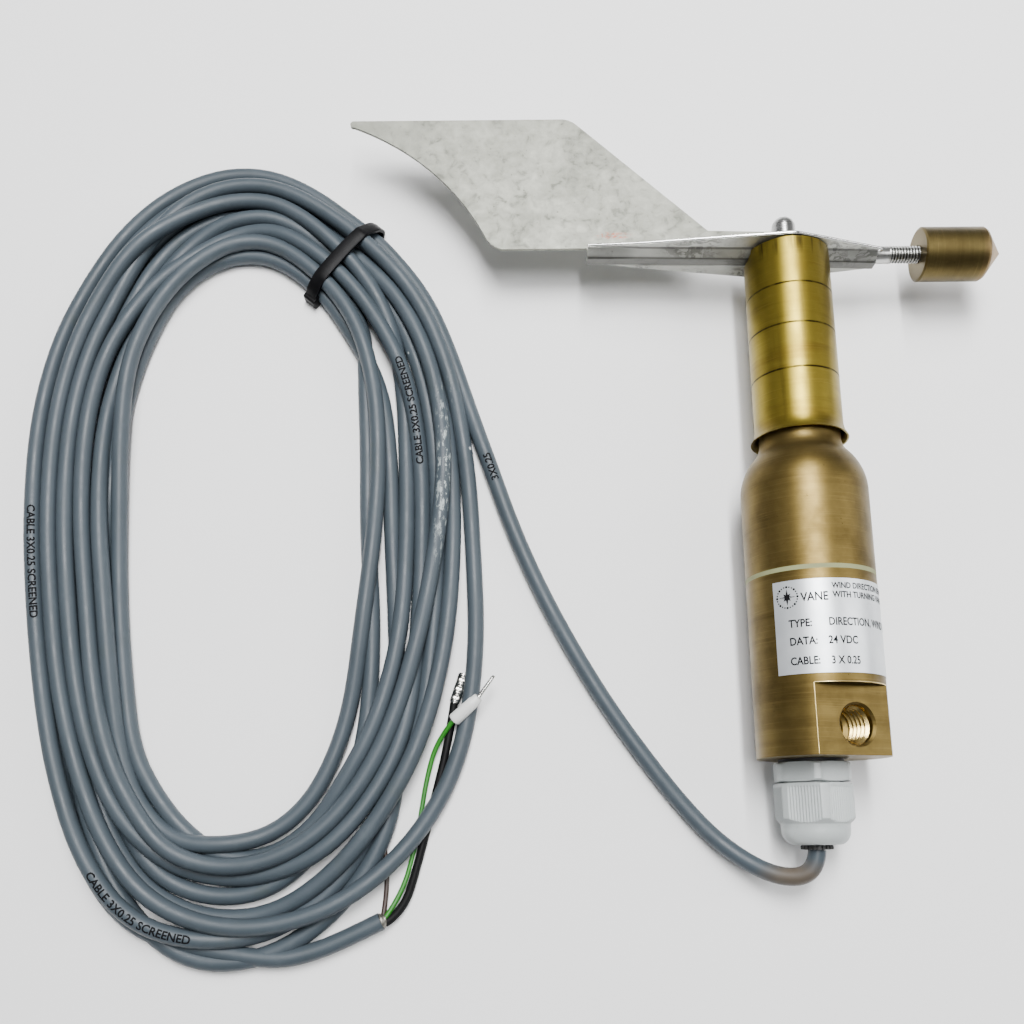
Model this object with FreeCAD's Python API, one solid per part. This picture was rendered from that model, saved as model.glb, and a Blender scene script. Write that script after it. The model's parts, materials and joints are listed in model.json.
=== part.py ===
"""Wind vane transmitter lying on its side, with its coiled lead on the same surface.

Frame: +Y runs along the rotor axis towards the vane, +Z is up from the surface that the
instrument lies on, and +X points from the rotor axis to the counterweight.

Parts of the instrument are drawn upright, as on a mast: x towards the counterweight,
y down to the surface, and z (called height) along the rotor axis from the housing's
bottom face. lay() then lays them on their side in the frame above. All in millimetres.
"""
import FreeCAD, Part
import math
import os

V = FreeCAD.Vector
os.makedirs("parts", exist_ok=True)

# Driving dimensions ------------------------------------------------------------------
BODY_R = 20.0            # both housings
LOWER_H = 55.2           # lower housing height
GASKET_T = 1.4
UPPER_H = LOWER_H + GASKET_T
BODY_WALL = 2.5
CAVITY_FLOOR = 24.0      # solid foot of the lower housing below this
SPIGOT_R = BODY_R - BODY_WALL
SPIGOT_DEPTH = 5.0

SHOULDER_H = 84.0        # the full radius ends here
SHOULDER_ARC = 19.0
SHOULDER_TURN = 42.0     # degrees of convex arc before the concave one
NECK_ARC = 8.25
NECK_R = 13.0
STATOR_R = 12.4          # bearing tube inside the sleeve
STATOR_TOP = 161.0

SLEEVE_R = 14.15
SLEEVE_WALL = 0.75
SLEEVE_BOTTOM = 102.65
SLEEVE_TOP = 169.5
FLARE_R = 15.6
FLARE_H = 5.0
SCRIBE_HEIGHTS = (123.0, 138.6, 152.9)
SCRIBE_W = 0.35
SCRIBE_D = 0.12

BEARING_OD, BEARING_ID, BEARING_W = 22.0, 8.0, 7.0
LOWER_BEARING_H = 109.0
UPPER_BEARING_H = 150.0
BALL_COUNT = 7
BALL_R = 1.95
FIT = 0.05               # radial clearance of a running or sliding fit

SHAFT_R = BEARING_ID / 2
SHAFT_BOTTOM = 58.0
DOME_CENTRE = 180.9
MAGNET_R, MAGNET_T = 4.0, 3.0
HOLDER_R = 7.0

HUB_FLOOR = 162.5
HUB_TOP = 166.7
HUB_BOSS_TOP = 168.0
HUB_BOSS_R = 6.0

SHEET = 1.0              # the arm's sheet
FIN_T = 1.1              # the fin's sheet, which balances the counterweight
ARM_LEFT, ARM_RIGHT = -68.0, 30.0
ROD_R = 3.0              # M6
ROD_H = 170.5            # height of the counterweight axis
ROD_START, ROD_END = 17.0, 57.0

FIN_REACH = 150.5
FIN_TOP = 224.6
FIN_EDGE_H = 173.8       # lower edge, clear of the arm
FIN_TAB_H = 170.0        # edge of the tab that stands in the arm's channel
FIN_TAB_TOP = 180.0

WEIGHT_R = 9.0
WEIGHT_BACK, WEIGHT_NOSE, WEIGHT_TIP = 45.3, 66.8, 73.4
WEIGHT_BORE_END = 63.5

FLAT_ANGLE = 21.0        # direction of the milled flat, from straight up towards +X
FLAT_DIST = 15.1         # flat to housing axis
FLAT_H = 21.0
HOLE_R = 6.0             # M12
HOLE_H = 9.0
HOLE_SHIFT = 1.5
HOLE_DEPTH = 11.0
HOLE_CHAMFER = 0.7

GLAND_SHIFT = 6.3        # the gland sits off axis, away from the threaded hole
GLAND_FLATS = 22.0
GLAND_THREAD_R = 8.0     # M16
GLAND_TURN = 90.0        # a corner of the nut points straight up
COLLAR_TURN = 82.0
WASHER_T = 1.0
COLLAR_END = -6.9
NUT_START, NUT_FLATS_END, NUT_END = -7.3, -19.2, -25.8
SEAL_END = -27.2
SEAL_R = 4.6

LABEL_T = 0.2
LABEL_FROM, LABEL_TO = -50.0, 93.0     # degrees from straight up towards +X
LABEL_BOTTOM, LABEL_TOP = 23.6, 52.0

BOARD_H, BOARD_R, BOARD_T = 45.0, 15.5, 1.6
STANDOFF_PCD_R = 12.5
TERMINAL_X = (-2.05, 1.45, 4.95)
TERMINAL_TALL = 7.5
INLET_END = 30.0         # the jacket ends here, inside the cavity

CABLE_R = 2.75
CORE_R = 0.8
SLEEVED_R = 1.35

# Where the instrument lies: centred on the origin, on its housing --------------------
AXIS_X = (FIN_REACH - WEIGHT_TIP) / 2
BASE_Y = -(FIN_TOP + SEAL_END) / 2
LAID = FreeCAD.Placement(V(AXIS_X, BASE_Y, BODY_R), FreeCAD.Rotation(V(1, 0, 0), -90))


def lay(shape):
    """Lay an upright shape on its side, in the frame of the whole part."""
    laid = shape.copy()
    laid.Placement = LAID.multiply(shape.Placement)
    return laid


def write(node, shape):
    solids = shape.Solids
    assert solids and all(solid.isValid() for solid in solids), node
    shape = solids[0] if len(solids) == 1 else Part.makeCompound(solids)
    shape.exportStep(f"parts/{node}.step")
    return shape


def cylinder(radius, bottom, top, centre=(0.0, 0.0)):
    return Part.makeCylinder(radius, top - bottom, V(centre[0], centre[1], bottom))


def ring(outer, inner, bottom, top, centre=(0.0, 0.0)):
    body = cylinder(outer, bottom, top, centre)
    return body.cut(cylinder(inner, bottom - 1, top + 1, centre))


def line(start, end):
    return Part.LineSegment(start, end).toShape()


def revolve(edges):
    """Turn a closed outline in the x-z plane about the rotor axis."""
    return Part.Face(Part.Wire(Part.__sortEdges__(edges))).revolve(V(), V(0, 0, 1), 360)


def outline(points):
    """Straight edges through (radius, height) points, not closed."""
    corners = [V(r, 0, h) for r, h in points]
    return [line(a, b) for a, b in zip(corners, corners[1:])]


def hexagon(flats, bottom, top, centre, turn, corner_r):
    """Hexagonal prism with its corners turned down to a circle of corner_r."""
    reach = flats / 2 / math.cos(math.radians(30))
    corners = []
    for i in range(7):
        angle = math.radians(turn + 60 * i)
        corners.append(V(centre[0] + reach * math.cos(angle), centre[1] + reach * math.sin(angle), bottom))
    prism = Part.Face(Part.makePolygon(corners)).extrude(V(0, 0, top - bottom))
    return prism.common(cylinder(corner_r, bottom, top, centre))


# Milled foot: flat direction, gland centre -------------------------------------------
FLAT_OUT = V(math.sin(math.radians(FLAT_ANGLE)), -math.cos(math.radians(FLAT_ANGLE)), 0)
FLAT_ALONG = V(-FLAT_OUT.y, FLAT_OUT.x, 0)
GLAND = (-GLAND_SHIFT * FLAT_OUT.x, -GLAND_SHIFT * FLAT_OUT.y)


# Housings ----------------------------------------------------------------------------
def lower_housing():
    body = cylinder(BODY_R, 0, LOWER_H)
    body = body.cut(cylinder(SPIGOT_R, CAVITY_FLOOR, LOWER_H + 1))
    body = body.cut(cylinder(GLAND_THREAD_R, -1, 10.5, GLAND))
    body = body.cut(cylinder(5.0, 5, CAVITY_FLOOR + 1, GLAND))
    slab = Part.makeBox(3 * BODY_R, BODY_R, FLAT_H + 1, V(-1.5 * BODY_R, FLAT_DIST, -1))
    slab.rotate(V(), V(0, 0, 1), 180 + FLAT_ANGLE)
    body = body.cut(slab)
    mouth = FLAT_OUT * FLAT_DIST + FLAT_ALONG * HOLE_SHIFT + V(0, 0, HOLE_H)
    inward = FLAT_OUT * -1
    body = body.cut(Part.makeCylinder(HOLE_R, HOLE_DEPTH + 1, mouth + FLAT_OUT, inward))
    point = mouth + inward * HOLE_DEPTH
    body = body.cut(Part.makeCone(HOLE_R, HOLE_R - 1.8, 1.0, point, inward))
    chamfer = Part.makeCone(HOLE_R + HOLE_CHAMFER, HOLE_R, HOLE_CHAMFER, mouth, inward)
    body = body.cut(chamfer)
    for x, y in standoff_places():
        body = body.cut(cylinder(1.5, CAVITY_FLOOR - 6, CAVITY_FLOOR + 1, (x, y)))
    return body


def upper_housing():
    turn = math.radians(SHOULDER_TURN)
    arc_x = BODY_R - SHOULDER_ARC
    join_r = arc_x + SHOULDER_ARC * math.cos(turn)
    join_h = SHOULDER_H + SHOULDER_ARC * math.sin(turn)
    mid = turn / 2
    convex = Part.Arc(V(BODY_R, 0, SHOULDER_H),
                      V(arc_x + SHOULDER_ARC * math.cos(mid), 0, SHOULDER_H + SHOULDER_ARC * math.sin(mid)),
                      V(join_r, 0, join_h))
    hollow_x = join_r + NECK_ARC * math.cos(turn)
    hollow_h = join_h + NECK_ARC * math.sin(turn)
    neck_r = hollow_x - NECK_ARC
    concave = Part.Arc(V(join_r, 0, join_h),
                       V(hollow_x - NECK_ARC * math.cos(mid), 0, hollow_h - NECK_ARC * math.sin(mid)),
                       V(neck_r, 0, hollow_h))
    seat = BEARING_OD / 2 + 0.01
    inner = BODY_R - BODY_WALL - 1.5
    edges = [convex.toShape(), concave.toShape()]
    edges += outline([(neck_r, hollow_h), (NECK_R, 104.5), (STATOR_R, 106.5), (STATOR_R, STATOR_TOP),
                      (seat, STATOR_TOP), (seat, LOWER_BEARING_H), (9.5, LOWER_BEARING_H), (9.5, 100.0),
                      (inner, 86.0), (inner, LOWER_H - SPIGOT_DEPTH), (SPIGOT_R - FIT, LOWER_H - SPIGOT_DEPTH),
                      (SPIGOT_R - FIT, UPPER_H), (BODY_R, UPPER_H), (BODY_R, SHOULDER_H)])
    body = revolve(edges)
    clip_groove = ring(seat + 0.6, seat - 1, UPPER_BEARING_H + BEARING_W, UPPER_BEARING_H + BEARING_W + 1.3)
    return body.cut(clip_groove)


def name_plate():
    plate = ring(BODY_R + LABEL_T, BODY_R, LABEL_BOTTOM, LABEL_TOP)
    start = LABEL_FROM - 90
    sector = Part.makeCylinder(BODY_R + 5, 60, V(0, 0, 0), V(0, 0, 1), LABEL_TO - LABEL_FROM)
    sector.rotate(V(), V(0, 0, 1), start)
    return plate.common(sector)


# Sleeve, hub and shaft ---------------------------------------------------------------
def rotor_sleeve():
    inner = SLEEVE_R - SLEEVE_WALL
    bottom, bend = SLEEVE_BOTTOM, SLEEVE_BOTTOM + FLARE_H
    spread = FLARE_R - SLEEVE_R
    outer_arc = Part.Arc(V(FLARE_R, 0, bottom), V(SLEEVE_R + 0.28 * spread, 0, bottom + 0.45 * FLARE_H),
                         V(SLEEVE_R, 0, bend))
    inner_arc = Part.Arc(V(FLARE_R - 0.55, 0, bottom), V(inner + 0.28 * spread, 0, bottom + 0.45 * FLARE_H),
                         V(inner, 0, bend))
    edges = [outer_arc.toShape(), inner_arc.toShape()]
    edges += outline([(SLEEVE_R, bend), (SLEEVE_R, SLEEVE_TOP), (inner, SLEEVE_TOP), (inner, bend)])
    edges += outline([(FLARE_R, bottom), (FLARE_R - 0.55, bottom)])
    sleeve = revolve(edges)
    for height in SCRIBE_HEIGHTS:
        sleeve = sleeve.cut(ring(SLEEVE_R + 1, SLEEVE_R - SCRIBE_D, height, height + SCRIBE_W))
    return sleeve.cut(channel_notch())


def channel_notch():
    """Gap in the sleeve's rim, both sides, that the arm's channel passes through."""
    half = [(5.7, SLEEVE_TOP + 1), (5.1, 168.4), (2.6, 166.75)]
    corners = [V(-20, y, h) for y, h in half] + [V(-20, -y, h) for y, h in reversed(half)]
    return Part.Face(Part.makePolygon(corners + corners[:1])).extrude(V(40, 0, 0))


def rotor_hub():
    hub = cylinder(SLEEVE_R - SLEEVE_WALL, HUB_FLOOR, HUB_TOP)
    hub = hub.fuse(cylinder(HUB_BOSS_R, HUB_TOP, HUB_BOSS_TOP))
    hub = hub.cut(cylinder(SHAFT_R + 0.01, HUB_FLOOR - 1, HUB_BOSS_TOP + 1))
    return hub.cut(Part.makeCylinder(1.5, 20, V(0, 0, HUB_FLOOR + 2.1), V(0, 1, 0)))


def hub_screw():
    return Part.makeCylinder(1.45, 7.0, V(0, SHAFT_R + 0.05, HUB_FLOOR + 2.1), V(0, 1, 0))


def rotor_shaft():
    shaft = cylinder(SHAFT_R, SHAFT_BOTTOM, DOME_CENTRE).fuse(Part.makeSphere(SHAFT_R, V(0, 0, DOME_CENTRE)))
    shaft = shaft.cut(ring(SHAFT_R + 1, SHAFT_R - 0.5, LOWER_BEARING_H - 1.2, LOWER_BEARING_H - 0.1))
    return shaft.removeSplitter()


def magnet_holder():
    top, bottom = SHAFT_BOTTOM + 8, SHAFT_BOTTOM - 1 - MAGNET_T
    cup = cylinder(HOLDER_R, bottom, top)
    cup = cup.cut(cylinder(SHAFT_R + 0.01, SHAFT_BOTTOM, top + 1))
    cup = cup.cut(cylinder(MAGNET_R, bottom - 1, bottom + MAGNET_T))
    return cup.cut(Part.makeCylinder(1.5, 10, V(0, 0, SHAFT_BOTTOM + 4), V(1, 0, 0)))


def holder_screw():
    return Part.makeCylinder(1.45, 2.8, V(SHAFT_R + 0.05, 0, SHAFT_BOTTOM + 4), V(1, 0, 0))


# Bearings ----------------------------------------------------------------------------
def raceway(bottom):
    centre_r = (BEARING_OD + BEARING_ID) / 4 + 0.25
    return Part.makeTorus(centre_r, BALL_R + FIT, V(0, 0, bottom + BEARING_W / 2)), centre_r


def bearing(name, bottom):
    top = bottom + BEARING_W
    race, centre_r = raceway(bottom)
    write(f"{name}_outer_ring", lay(ring(BEARING_OD / 2, 9.3, bottom, top).cut(race)))
    write(f"{name}_inner_ring", lay(ring(6.2, SHAFT_R + 0.01, bottom, top).cut(race)))
    balls = []
    for i in range(BALL_COUNT):
        angle = 2 * math.pi * i / BALL_COUNT
        balls.append(Part.makeSphere(BALL_R, V(centre_r * math.cos(angle), centre_r * math.sin(angle),
                                               bottom + BEARING_W / 2)))
    write(f"{name}_balls", lay(Part.makeCompound(balls)))


def circlip(outer, inner, bottom, thickness, gap):
    clip = ring(outer, inner, bottom, bottom + thickness)
    return clip.cut(Part.makeBox(outer + 1, gap, thickness + 2, V(0, -gap / 2, bottom - 1)))


# Arm, fin, rod and weight ------------------------------------------------------------
# Stations along the arm: (x, half width, height of the wing's underside, channel's underside).
ARM_STATIONS = [(ARM_LEFT, 4.9, 171.8, 168.95), (-50.0, 7.5, 170.9, 168.95), (-14.0, 12.6, 170.3, 168.1),
                (0.0, 14.6, 170.0, 168.0), (6.0, 12.9, 169.9, 168.0), (15.0, 10.4, 169.6, 166.9),
                (ARM_RIGHT, 6.2, 169.1, 166.4)]
CHANNEL_FOOT = 1.9       # half width of the channel's flat bottom
CHANNEL_LIP = 6.0        # half width where the channel meets the wings


def arm_section(x, half, wing, foot):
    """Closed section of the folded sheet at one station: underside, then top side."""
    lip = min(CHANNEL_LIP, 0.82 * half)
    under = [(half, wing), (lip, wing), (CHANNEL_FOOT, foot)]
    points = [V(x, y, h) for y, h in under] + [V(x, -y, h) for y, h in reversed(under)]
    points += [V(x, p.y, p.z + SHEET) for p in reversed(points)]
    return Part.makePolygon(points + points[:1])


def vane_arm():
    sections = [arm_section(*station) for station in ARM_STATIONS]
    arm = Part.makeLoft(sections, True, True)
    return arm.cut(cylinder(SHAFT_R + FIT, 160, 180))


def vane_fin():
    x_low, arc_r = -103.3, 89.0
    start, end = V(x_low, 0, 179.6), V(-149.0, 0, 222.1)
    chord = end - start
    middle = (start + end) * 0.5
    half = chord.Length / 2
    sag = arc_r - math.sqrt(arc_r ** 2 - half ** 2)
    inward = V(chord.z, 0, -chord.x).normalize()
    hollow = Part.Arc(start, middle + inward * sag, end).toShape()
    tip = Part.Arc(end, V(-FIN_REACH, 0, 223.4), V(-149.6, 0, FIN_TOP)).toShape()
    heel = Part.Arc(V(-97.4, 0, FIN_EDGE_H), V(-100.6, 0, 175.6), start).toShape()
    corners = [V(-149.6, 0, FIN_TOP), V(-75.5, 0, FIN_TOP)]
    shoulder = Part.Arc(corners[1], V(-72.8, 0, 223.9), V(-70.4, 0, 222.2)).toShape()
    rest = [V(-70.4, 0, 222.2), V(-26.2, 0, FIN_TAB_TOP + 0.1), V(-SHAFT_R - 0.05, 0, FIN_TAB_TOP - 0.6),
            V(-SHAFT_R - 0.05, 0, FIN_TAB_H), V(ARM_LEFT, 0, FIN_TAB_H), V(ARM_LEFT, 0, FIN_EDGE_H),
            V(-97.4, 0, FIN_EDGE_H)]
    edges = [hollow, tip, heel, shoulder, line(*corners)]
    edges += [line(a, b) for a, b in zip(rest, rest[1:])]
    face = Part.Face(Part.Wire(Part.__sortEdges__(edges)))
    face.translate(V(0, -FIN_T / 2, 0))
    return face.extrude(V(0, FIN_T, 0))


def counterweight_rod():
    return Part.makeCylinder(ROD_R, ROD_END - ROD_START, V(ROD_START, 0, ROD_H), V(1, 0, 0))


def counterweight():
    edge = 0.8
    profile = [(WEIGHT_BACK, 0), (WEIGHT_BACK, WEIGHT_R - edge), (WEIGHT_BACK + edge / 2, WEIGHT_R),
               (WEIGHT_NOSE - 0.6, WEIGHT_R), (WEIGHT_NOSE + 0.3, WEIGHT_R - 0.5), (WEIGHT_TIP - 0.8, 1.1),
               (WEIGHT_TIP, 0), (WEIGHT_BACK, 0)]
    wire = Part.makePolygon([V(x, 0, ROD_H + r) for x, r in profile])
    weight = Part.Face(wire).revolve(V(0, 0, ROD_H), V(1, 0, 0), 360)
    bore = Part.makeCylinder(ROD_R + FIT, WEIGHT_BORE_END - WEIGHT_BACK + 1, V(WEIGHT_BACK - 1, 0, ROD_H), V(1, 0, 0))
    return weight.cut(bore)


# Electronics -------------------------------------------------------------------------
def standoff_places():
    places = []
    for i in range(3):
        angle = math.radians(-30 + 120 * i)
        places.append((STANDOFF_PCD_R * math.cos(angle), STANDOFF_PCD_R * math.sin(angle)))
    return places


def circuit_board():
    board = cylinder(BOARD_R, BOARD_H, BOARD_H + BOARD_T)
    for place in standoff_places():
        board = board.cut(cylinder(1.6, BOARD_H - 1, BOARD_H + 3, place))
    return board


def board_components():
    """Low surface-mounted parts on the board's lower face and two capacitors."""
    parts = []
    chips = ((-6, -4, 5, 4, 1.2), (2, -6, 3, 1.6, 0.9), (7.6, 0.5, 1.6, 3.0, 0.9), (-9.5, 3, 2.4, 2.4, 1.0))
    for x, y, wide, deep, tall in chips:
        parts.append(Part.makeBox(wide, deep, tall, V(x, y, BOARD_H - tall)))
    parts.append(cylinder(2.5, BOARD_H - 5.5, BOARD_H, (3.5, -9.5)))
    return Part.makeCompound(parts)


def terminal_block():
    low = BOARD_H - TERMINAL_TALL
    block = Part.makeBox(10.5, 6.0, TERMINAL_TALL, V(TERMINAL_X[0] - 1.65, 2.8, low))
    for x in TERMINAL_X:
        block = block.cut(Part.makeBox(2.3, 2.3, 4.0, V(x - 1.15, 4.6, low - 1)))
    return block


def inner_wires():
    """The three cores from the end of the cable up into the terminal block."""
    wires = []
    for x, shift in zip(TERMINAL_X, (-1.3, 0.0, 1.3)):
        start = (GLAND[0] + shift, GLAND[1])
        route = [(*start, INLET_END), (*start, INLET_END + 2.6), (x, 5.7, BOARD_H - 9.6), (x, 5.7, BOARD_H - 5.0)]
        wires.append(tube(route, CORE_R - FIT, "inner wire"))
    return Part.makeCompound(wires)


def standoffs():
    pillars = []
    for place in standoff_places():
        pillar = hexagon(5.5, CAVITY_FLOOR, BOARD_H, place, 0, 3.1)
        pillar = pillar.fuse(cylinder(1.45, CAVITY_FLOOR - 5, CAVITY_FLOOR, place))
        pillars.append(pillar.cut(cylinder(1.45, BOARD_H - 6, BOARD_H + 1, place)))
    return Part.makeCompound(pillars)


def board_screws():
    screws = []
    for place in standoff_places():
        top = BOARD_H + BOARD_T
        screw = cylinder(1.4, BOARD_H - 4.5, top, place).fuse(cylinder(2.75, top, top + 1.8, place))
        screws.append(screw.cut(hexagon(2.0, top + 0.8, top + 2.0, place, 0, 2.0)))
    return Part.makeCompound(screws)


# Cable gland -------------------------------------------------------------------------
def gland_body():
    collar = hexagon(GLAND_FLATS, COLLAR_END, -WASHER_T, GLAND, COLLAR_TURN, 12.1)
    body = collar.fuse(cylinder(GLAND_THREAD_R - 0.02, -WASHER_T, 9.5, GLAND))
    body = body.fuse(cylinder(8.4, -18.0, COLLAR_END, GLAND))
    return body.cut(cylinder(SEAL_R + FIT, -20, 12, GLAND)).removeSplitter()


def gland_nut():
    end_r = 6.5
    flats = hexagon(GLAND_FLATS, NUT_FLATS_END, NUT_START, GLAND, GLAND_TURN, 12.1)
    round_r = 10.5
    mid_h = NUT_FLATS_END - 2.4
    cap = [line(V(0, 0, NUT_FLATS_END), V(round_r, 0, NUT_FLATS_END)),
           line(V(round_r, 0, NUT_FLATS_END), V(round_r, 0, mid_h)),
           Part.Arc(V(round_r, 0, mid_h), V(9.3, 0, NUT_END + 1.25), V(end_r, 0, NUT_END)).toShape(),
           line(V(end_r, 0, NUT_END), V(0, 0, NUT_END)), line(V(0, 0, NUT_END), V(0, 0, NUT_FLATS_END))]
    dome = revolve(cap)
    dome.translate(V(GLAND[0], GLAND[1], 0))
    nut = flats.fuse(dome).cut(cylinder(8.5, -18.2, NUT_START + 1, GLAND))
    return nut.cut(cylinder(SEAL_R + FIT, NUT_END - 1, -17, GLAND)).removeSplitter()


def gland_seal():
    return ring(SEAL_R, CABLE_R, SEAL_END, -8.0, GLAND)


# Cable and its far end ---------------------------------------------------------------
FLOOR = 0.0
EXIT = (AXIS_X + GLAND[0], BASE_Y + SEAL_END, BODY_R - GLAND[1])
RUN_ROUTE = [EXIT, (35.8, -130.4, 13.9), (31.7, -134.2, 12.6), (24.1, -133.8, 9.7), (15.3, -129.2, 6.5),
             (6.0, -121.7, 4.0), (-3.5, -110.9, 2.85), (-13.8, -97.3, 2.85), (-25.0, -81.1, 2.85),
             (-36.1, -62.3, 2.85), (-46.8, -41.4, 2.85), (-55.9, -19.7, 2.85), (-63.0, 1.6, 2.85),
             (-69.2, 19.5, 2.95), (-77.5, 36.0, 3.2)]
TAIL_ROUTE = [(-131.0, -158.0, 3.4), (-120.0, -156.0, 3.1), (-109.0, -151.8, 2.95), (-98.0, -146.6, 2.95)]
GREEN_ROUTE = [(-97.3, -146.2, 3.2), (-91.5, -138.5, 1.9), (-87.2, -121.0, 1.0), (-84.6, -103.0, 1.0),
               (-81.0, -90.5, 2.4), (-75.6, -84.6, 5.2)]
SCREEN_ROUTE = [(-96.9, -147.2, 2.8), (-91.2, -144.0, 1.9), (-86.6, -128.0, 1.45), (-81.5, -108.0, 1.45),
                (-77.6, -92.0, 1.6), (-75.6, -78.6, 2.0)]
WHITE_ROUTE = [(-97.0, -146.7, 2.0), (-90.9, -136.0, 1.0), (-85.0, -121.0, 0.95), (-79.6, -107.0, 0.95),
               (-76.4, -93.0, 1.0)]
BROWN_ROUTE = [(-97.6, -145.4, 2.5), (-96.6, -138.0, 1.2), (-97.0, -127.0, 0.95), (-99.5, -114.8, 0.95)]
FERRULE_TIP = (-67.4, -77.4, 7.6)
PIN_TIP = (-62.4, -70.6, 8.6)
CRIMP_TIP = (-72.4, -69.0, 2.2)
COIL_HEIGHT = 9.0
COIL_OUTLINE = [(-153.7, 121.6), (-128.0, 112.5), (-105.0, 93.5), (-86.0, 71.0), (-74.5, 44.0), (-68.5, 12.0),
                (-64.5, -50.0), (-66.5, -84.0), (-91.0, -136.0), (-112.5, -155.5), (-136.9, -163.8),
                (-160.5, -162.0), (-181.0, -151.0), (-195.3, -130.4), (-205.0, -104.0), (-215.0, -55.0),
                (-221.5, 7.0), (-214.5, 61.0), (-192.4, 102.5), (-175.2, 115.8)]
COIL_HOLE = [(-151.6, 79.0), (-138.9, 76.5), (-124.5, 67.5), (-117.5, 52.0), (-112.5, 34.0), (-109.8, -10.0),
             (-112.2, -66.0), (-119.0, -101.0), (-137.0, -117.4), (-159.5, -111.5), (-177.0, -93.0),
             (-183.2, -50.0), (-186.5, 4.0), (-182.3, 41.0), (-170.6, 64.0)]
TIE_ENDS = ((-104.0, 93.5), (-126.5, 68.5))
TIE_WIDTH = 4.8


def tube(route, radius, name):
    """Tube along straight runs joined by tangent arcs; prints the radii and the volume check."""
    points = [V(*p) for p in route]
    edges, radii = [], []
    last = points[0]
    for before, corner, after in zip(points, points[1:], points[2:]):
        back, ahead = before - corner, after - corner
        turn = math.pi - back.getAngle(ahead)
        cut = 0.45 * min(back.Length, ahead.Length)
        radii.append(cut / math.tan(turn / 2))
        enter = corner + back.normalize() * cut
        leave = corner + ahead.normalize() * cut
        bisector = (back + ahead).normalize()
        centre = corner + bisector * (radii[-1] / math.cos(turn / 2))
        edges.append(line(last, enter))
        edges.append(Part.Arc(enter, centre - bisector * radii[-1], leave).toShape())
        last = leave
    edges.append(line(last, points[-1]))
    path = Part.Wire(edges)
    profile = Part.Wire(Part.makeCircle(radius, points[0], points[1] - points[0]))
    solid = path.makePipeShell([profile], True, False)
    expected = math.pi * radius ** 2 * path.Length
    print(f"{name}: length {path.Length:.0f}, volume ratio {solid.Volume / expected:.4f},"
          f" lowest {solid.BoundBox.ZMin:.2f}, radii", [round(r, 1) for r in radii])
    return solid


def rod(start, end, radius):
    return Part.makeCylinder(radius, (V(*end) - V(*start)).Length, V(*start), V(*end) - V(*start))


def cable_coil():
    def closed(points):
        curve = Part.BSplineCurve()
        curve.interpolate([V(x, y, FLOOR) for x, y in points], PeriodicFlag=True)
        return Part.Face(Part.Wire(curve.toShape()))
    return closed(COIL_OUTLINE).cut(closed(COIL_HOLE)).extrude(V(0, 0, COIL_HEIGHT))


def cable_tie():
    """Strap round the bundle: a flat loop through the coil's hole, with its head on top."""
    (x0, y0), (x1, y1) = TIE_ENDS
    span = V(x1 - x0, y1 - y0, 0)
    length, low, high, strap = span.Length + 3.0, 0.02, COIL_HEIGHT + 1.6, 1.2
    outer = Part.makeBox(length, TIE_WIDTH, high - low, V(-1.5, -TIE_WIDTH / 2, low))
    inner = Part.makeBox(length - 2 * strap, TIE_WIDTH + 2, high - low - 2 * strap,
                         V(strap - 1.5, -TIE_WIDTH / 2 - 1, low + strap))
    band = outer.cut(inner)
    band.rotate(V(), V(0, 0, 1), math.degrees(math.atan2(span.y, span.x)))
    band.translate(V(x0, y0, 0))
    return band


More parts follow.
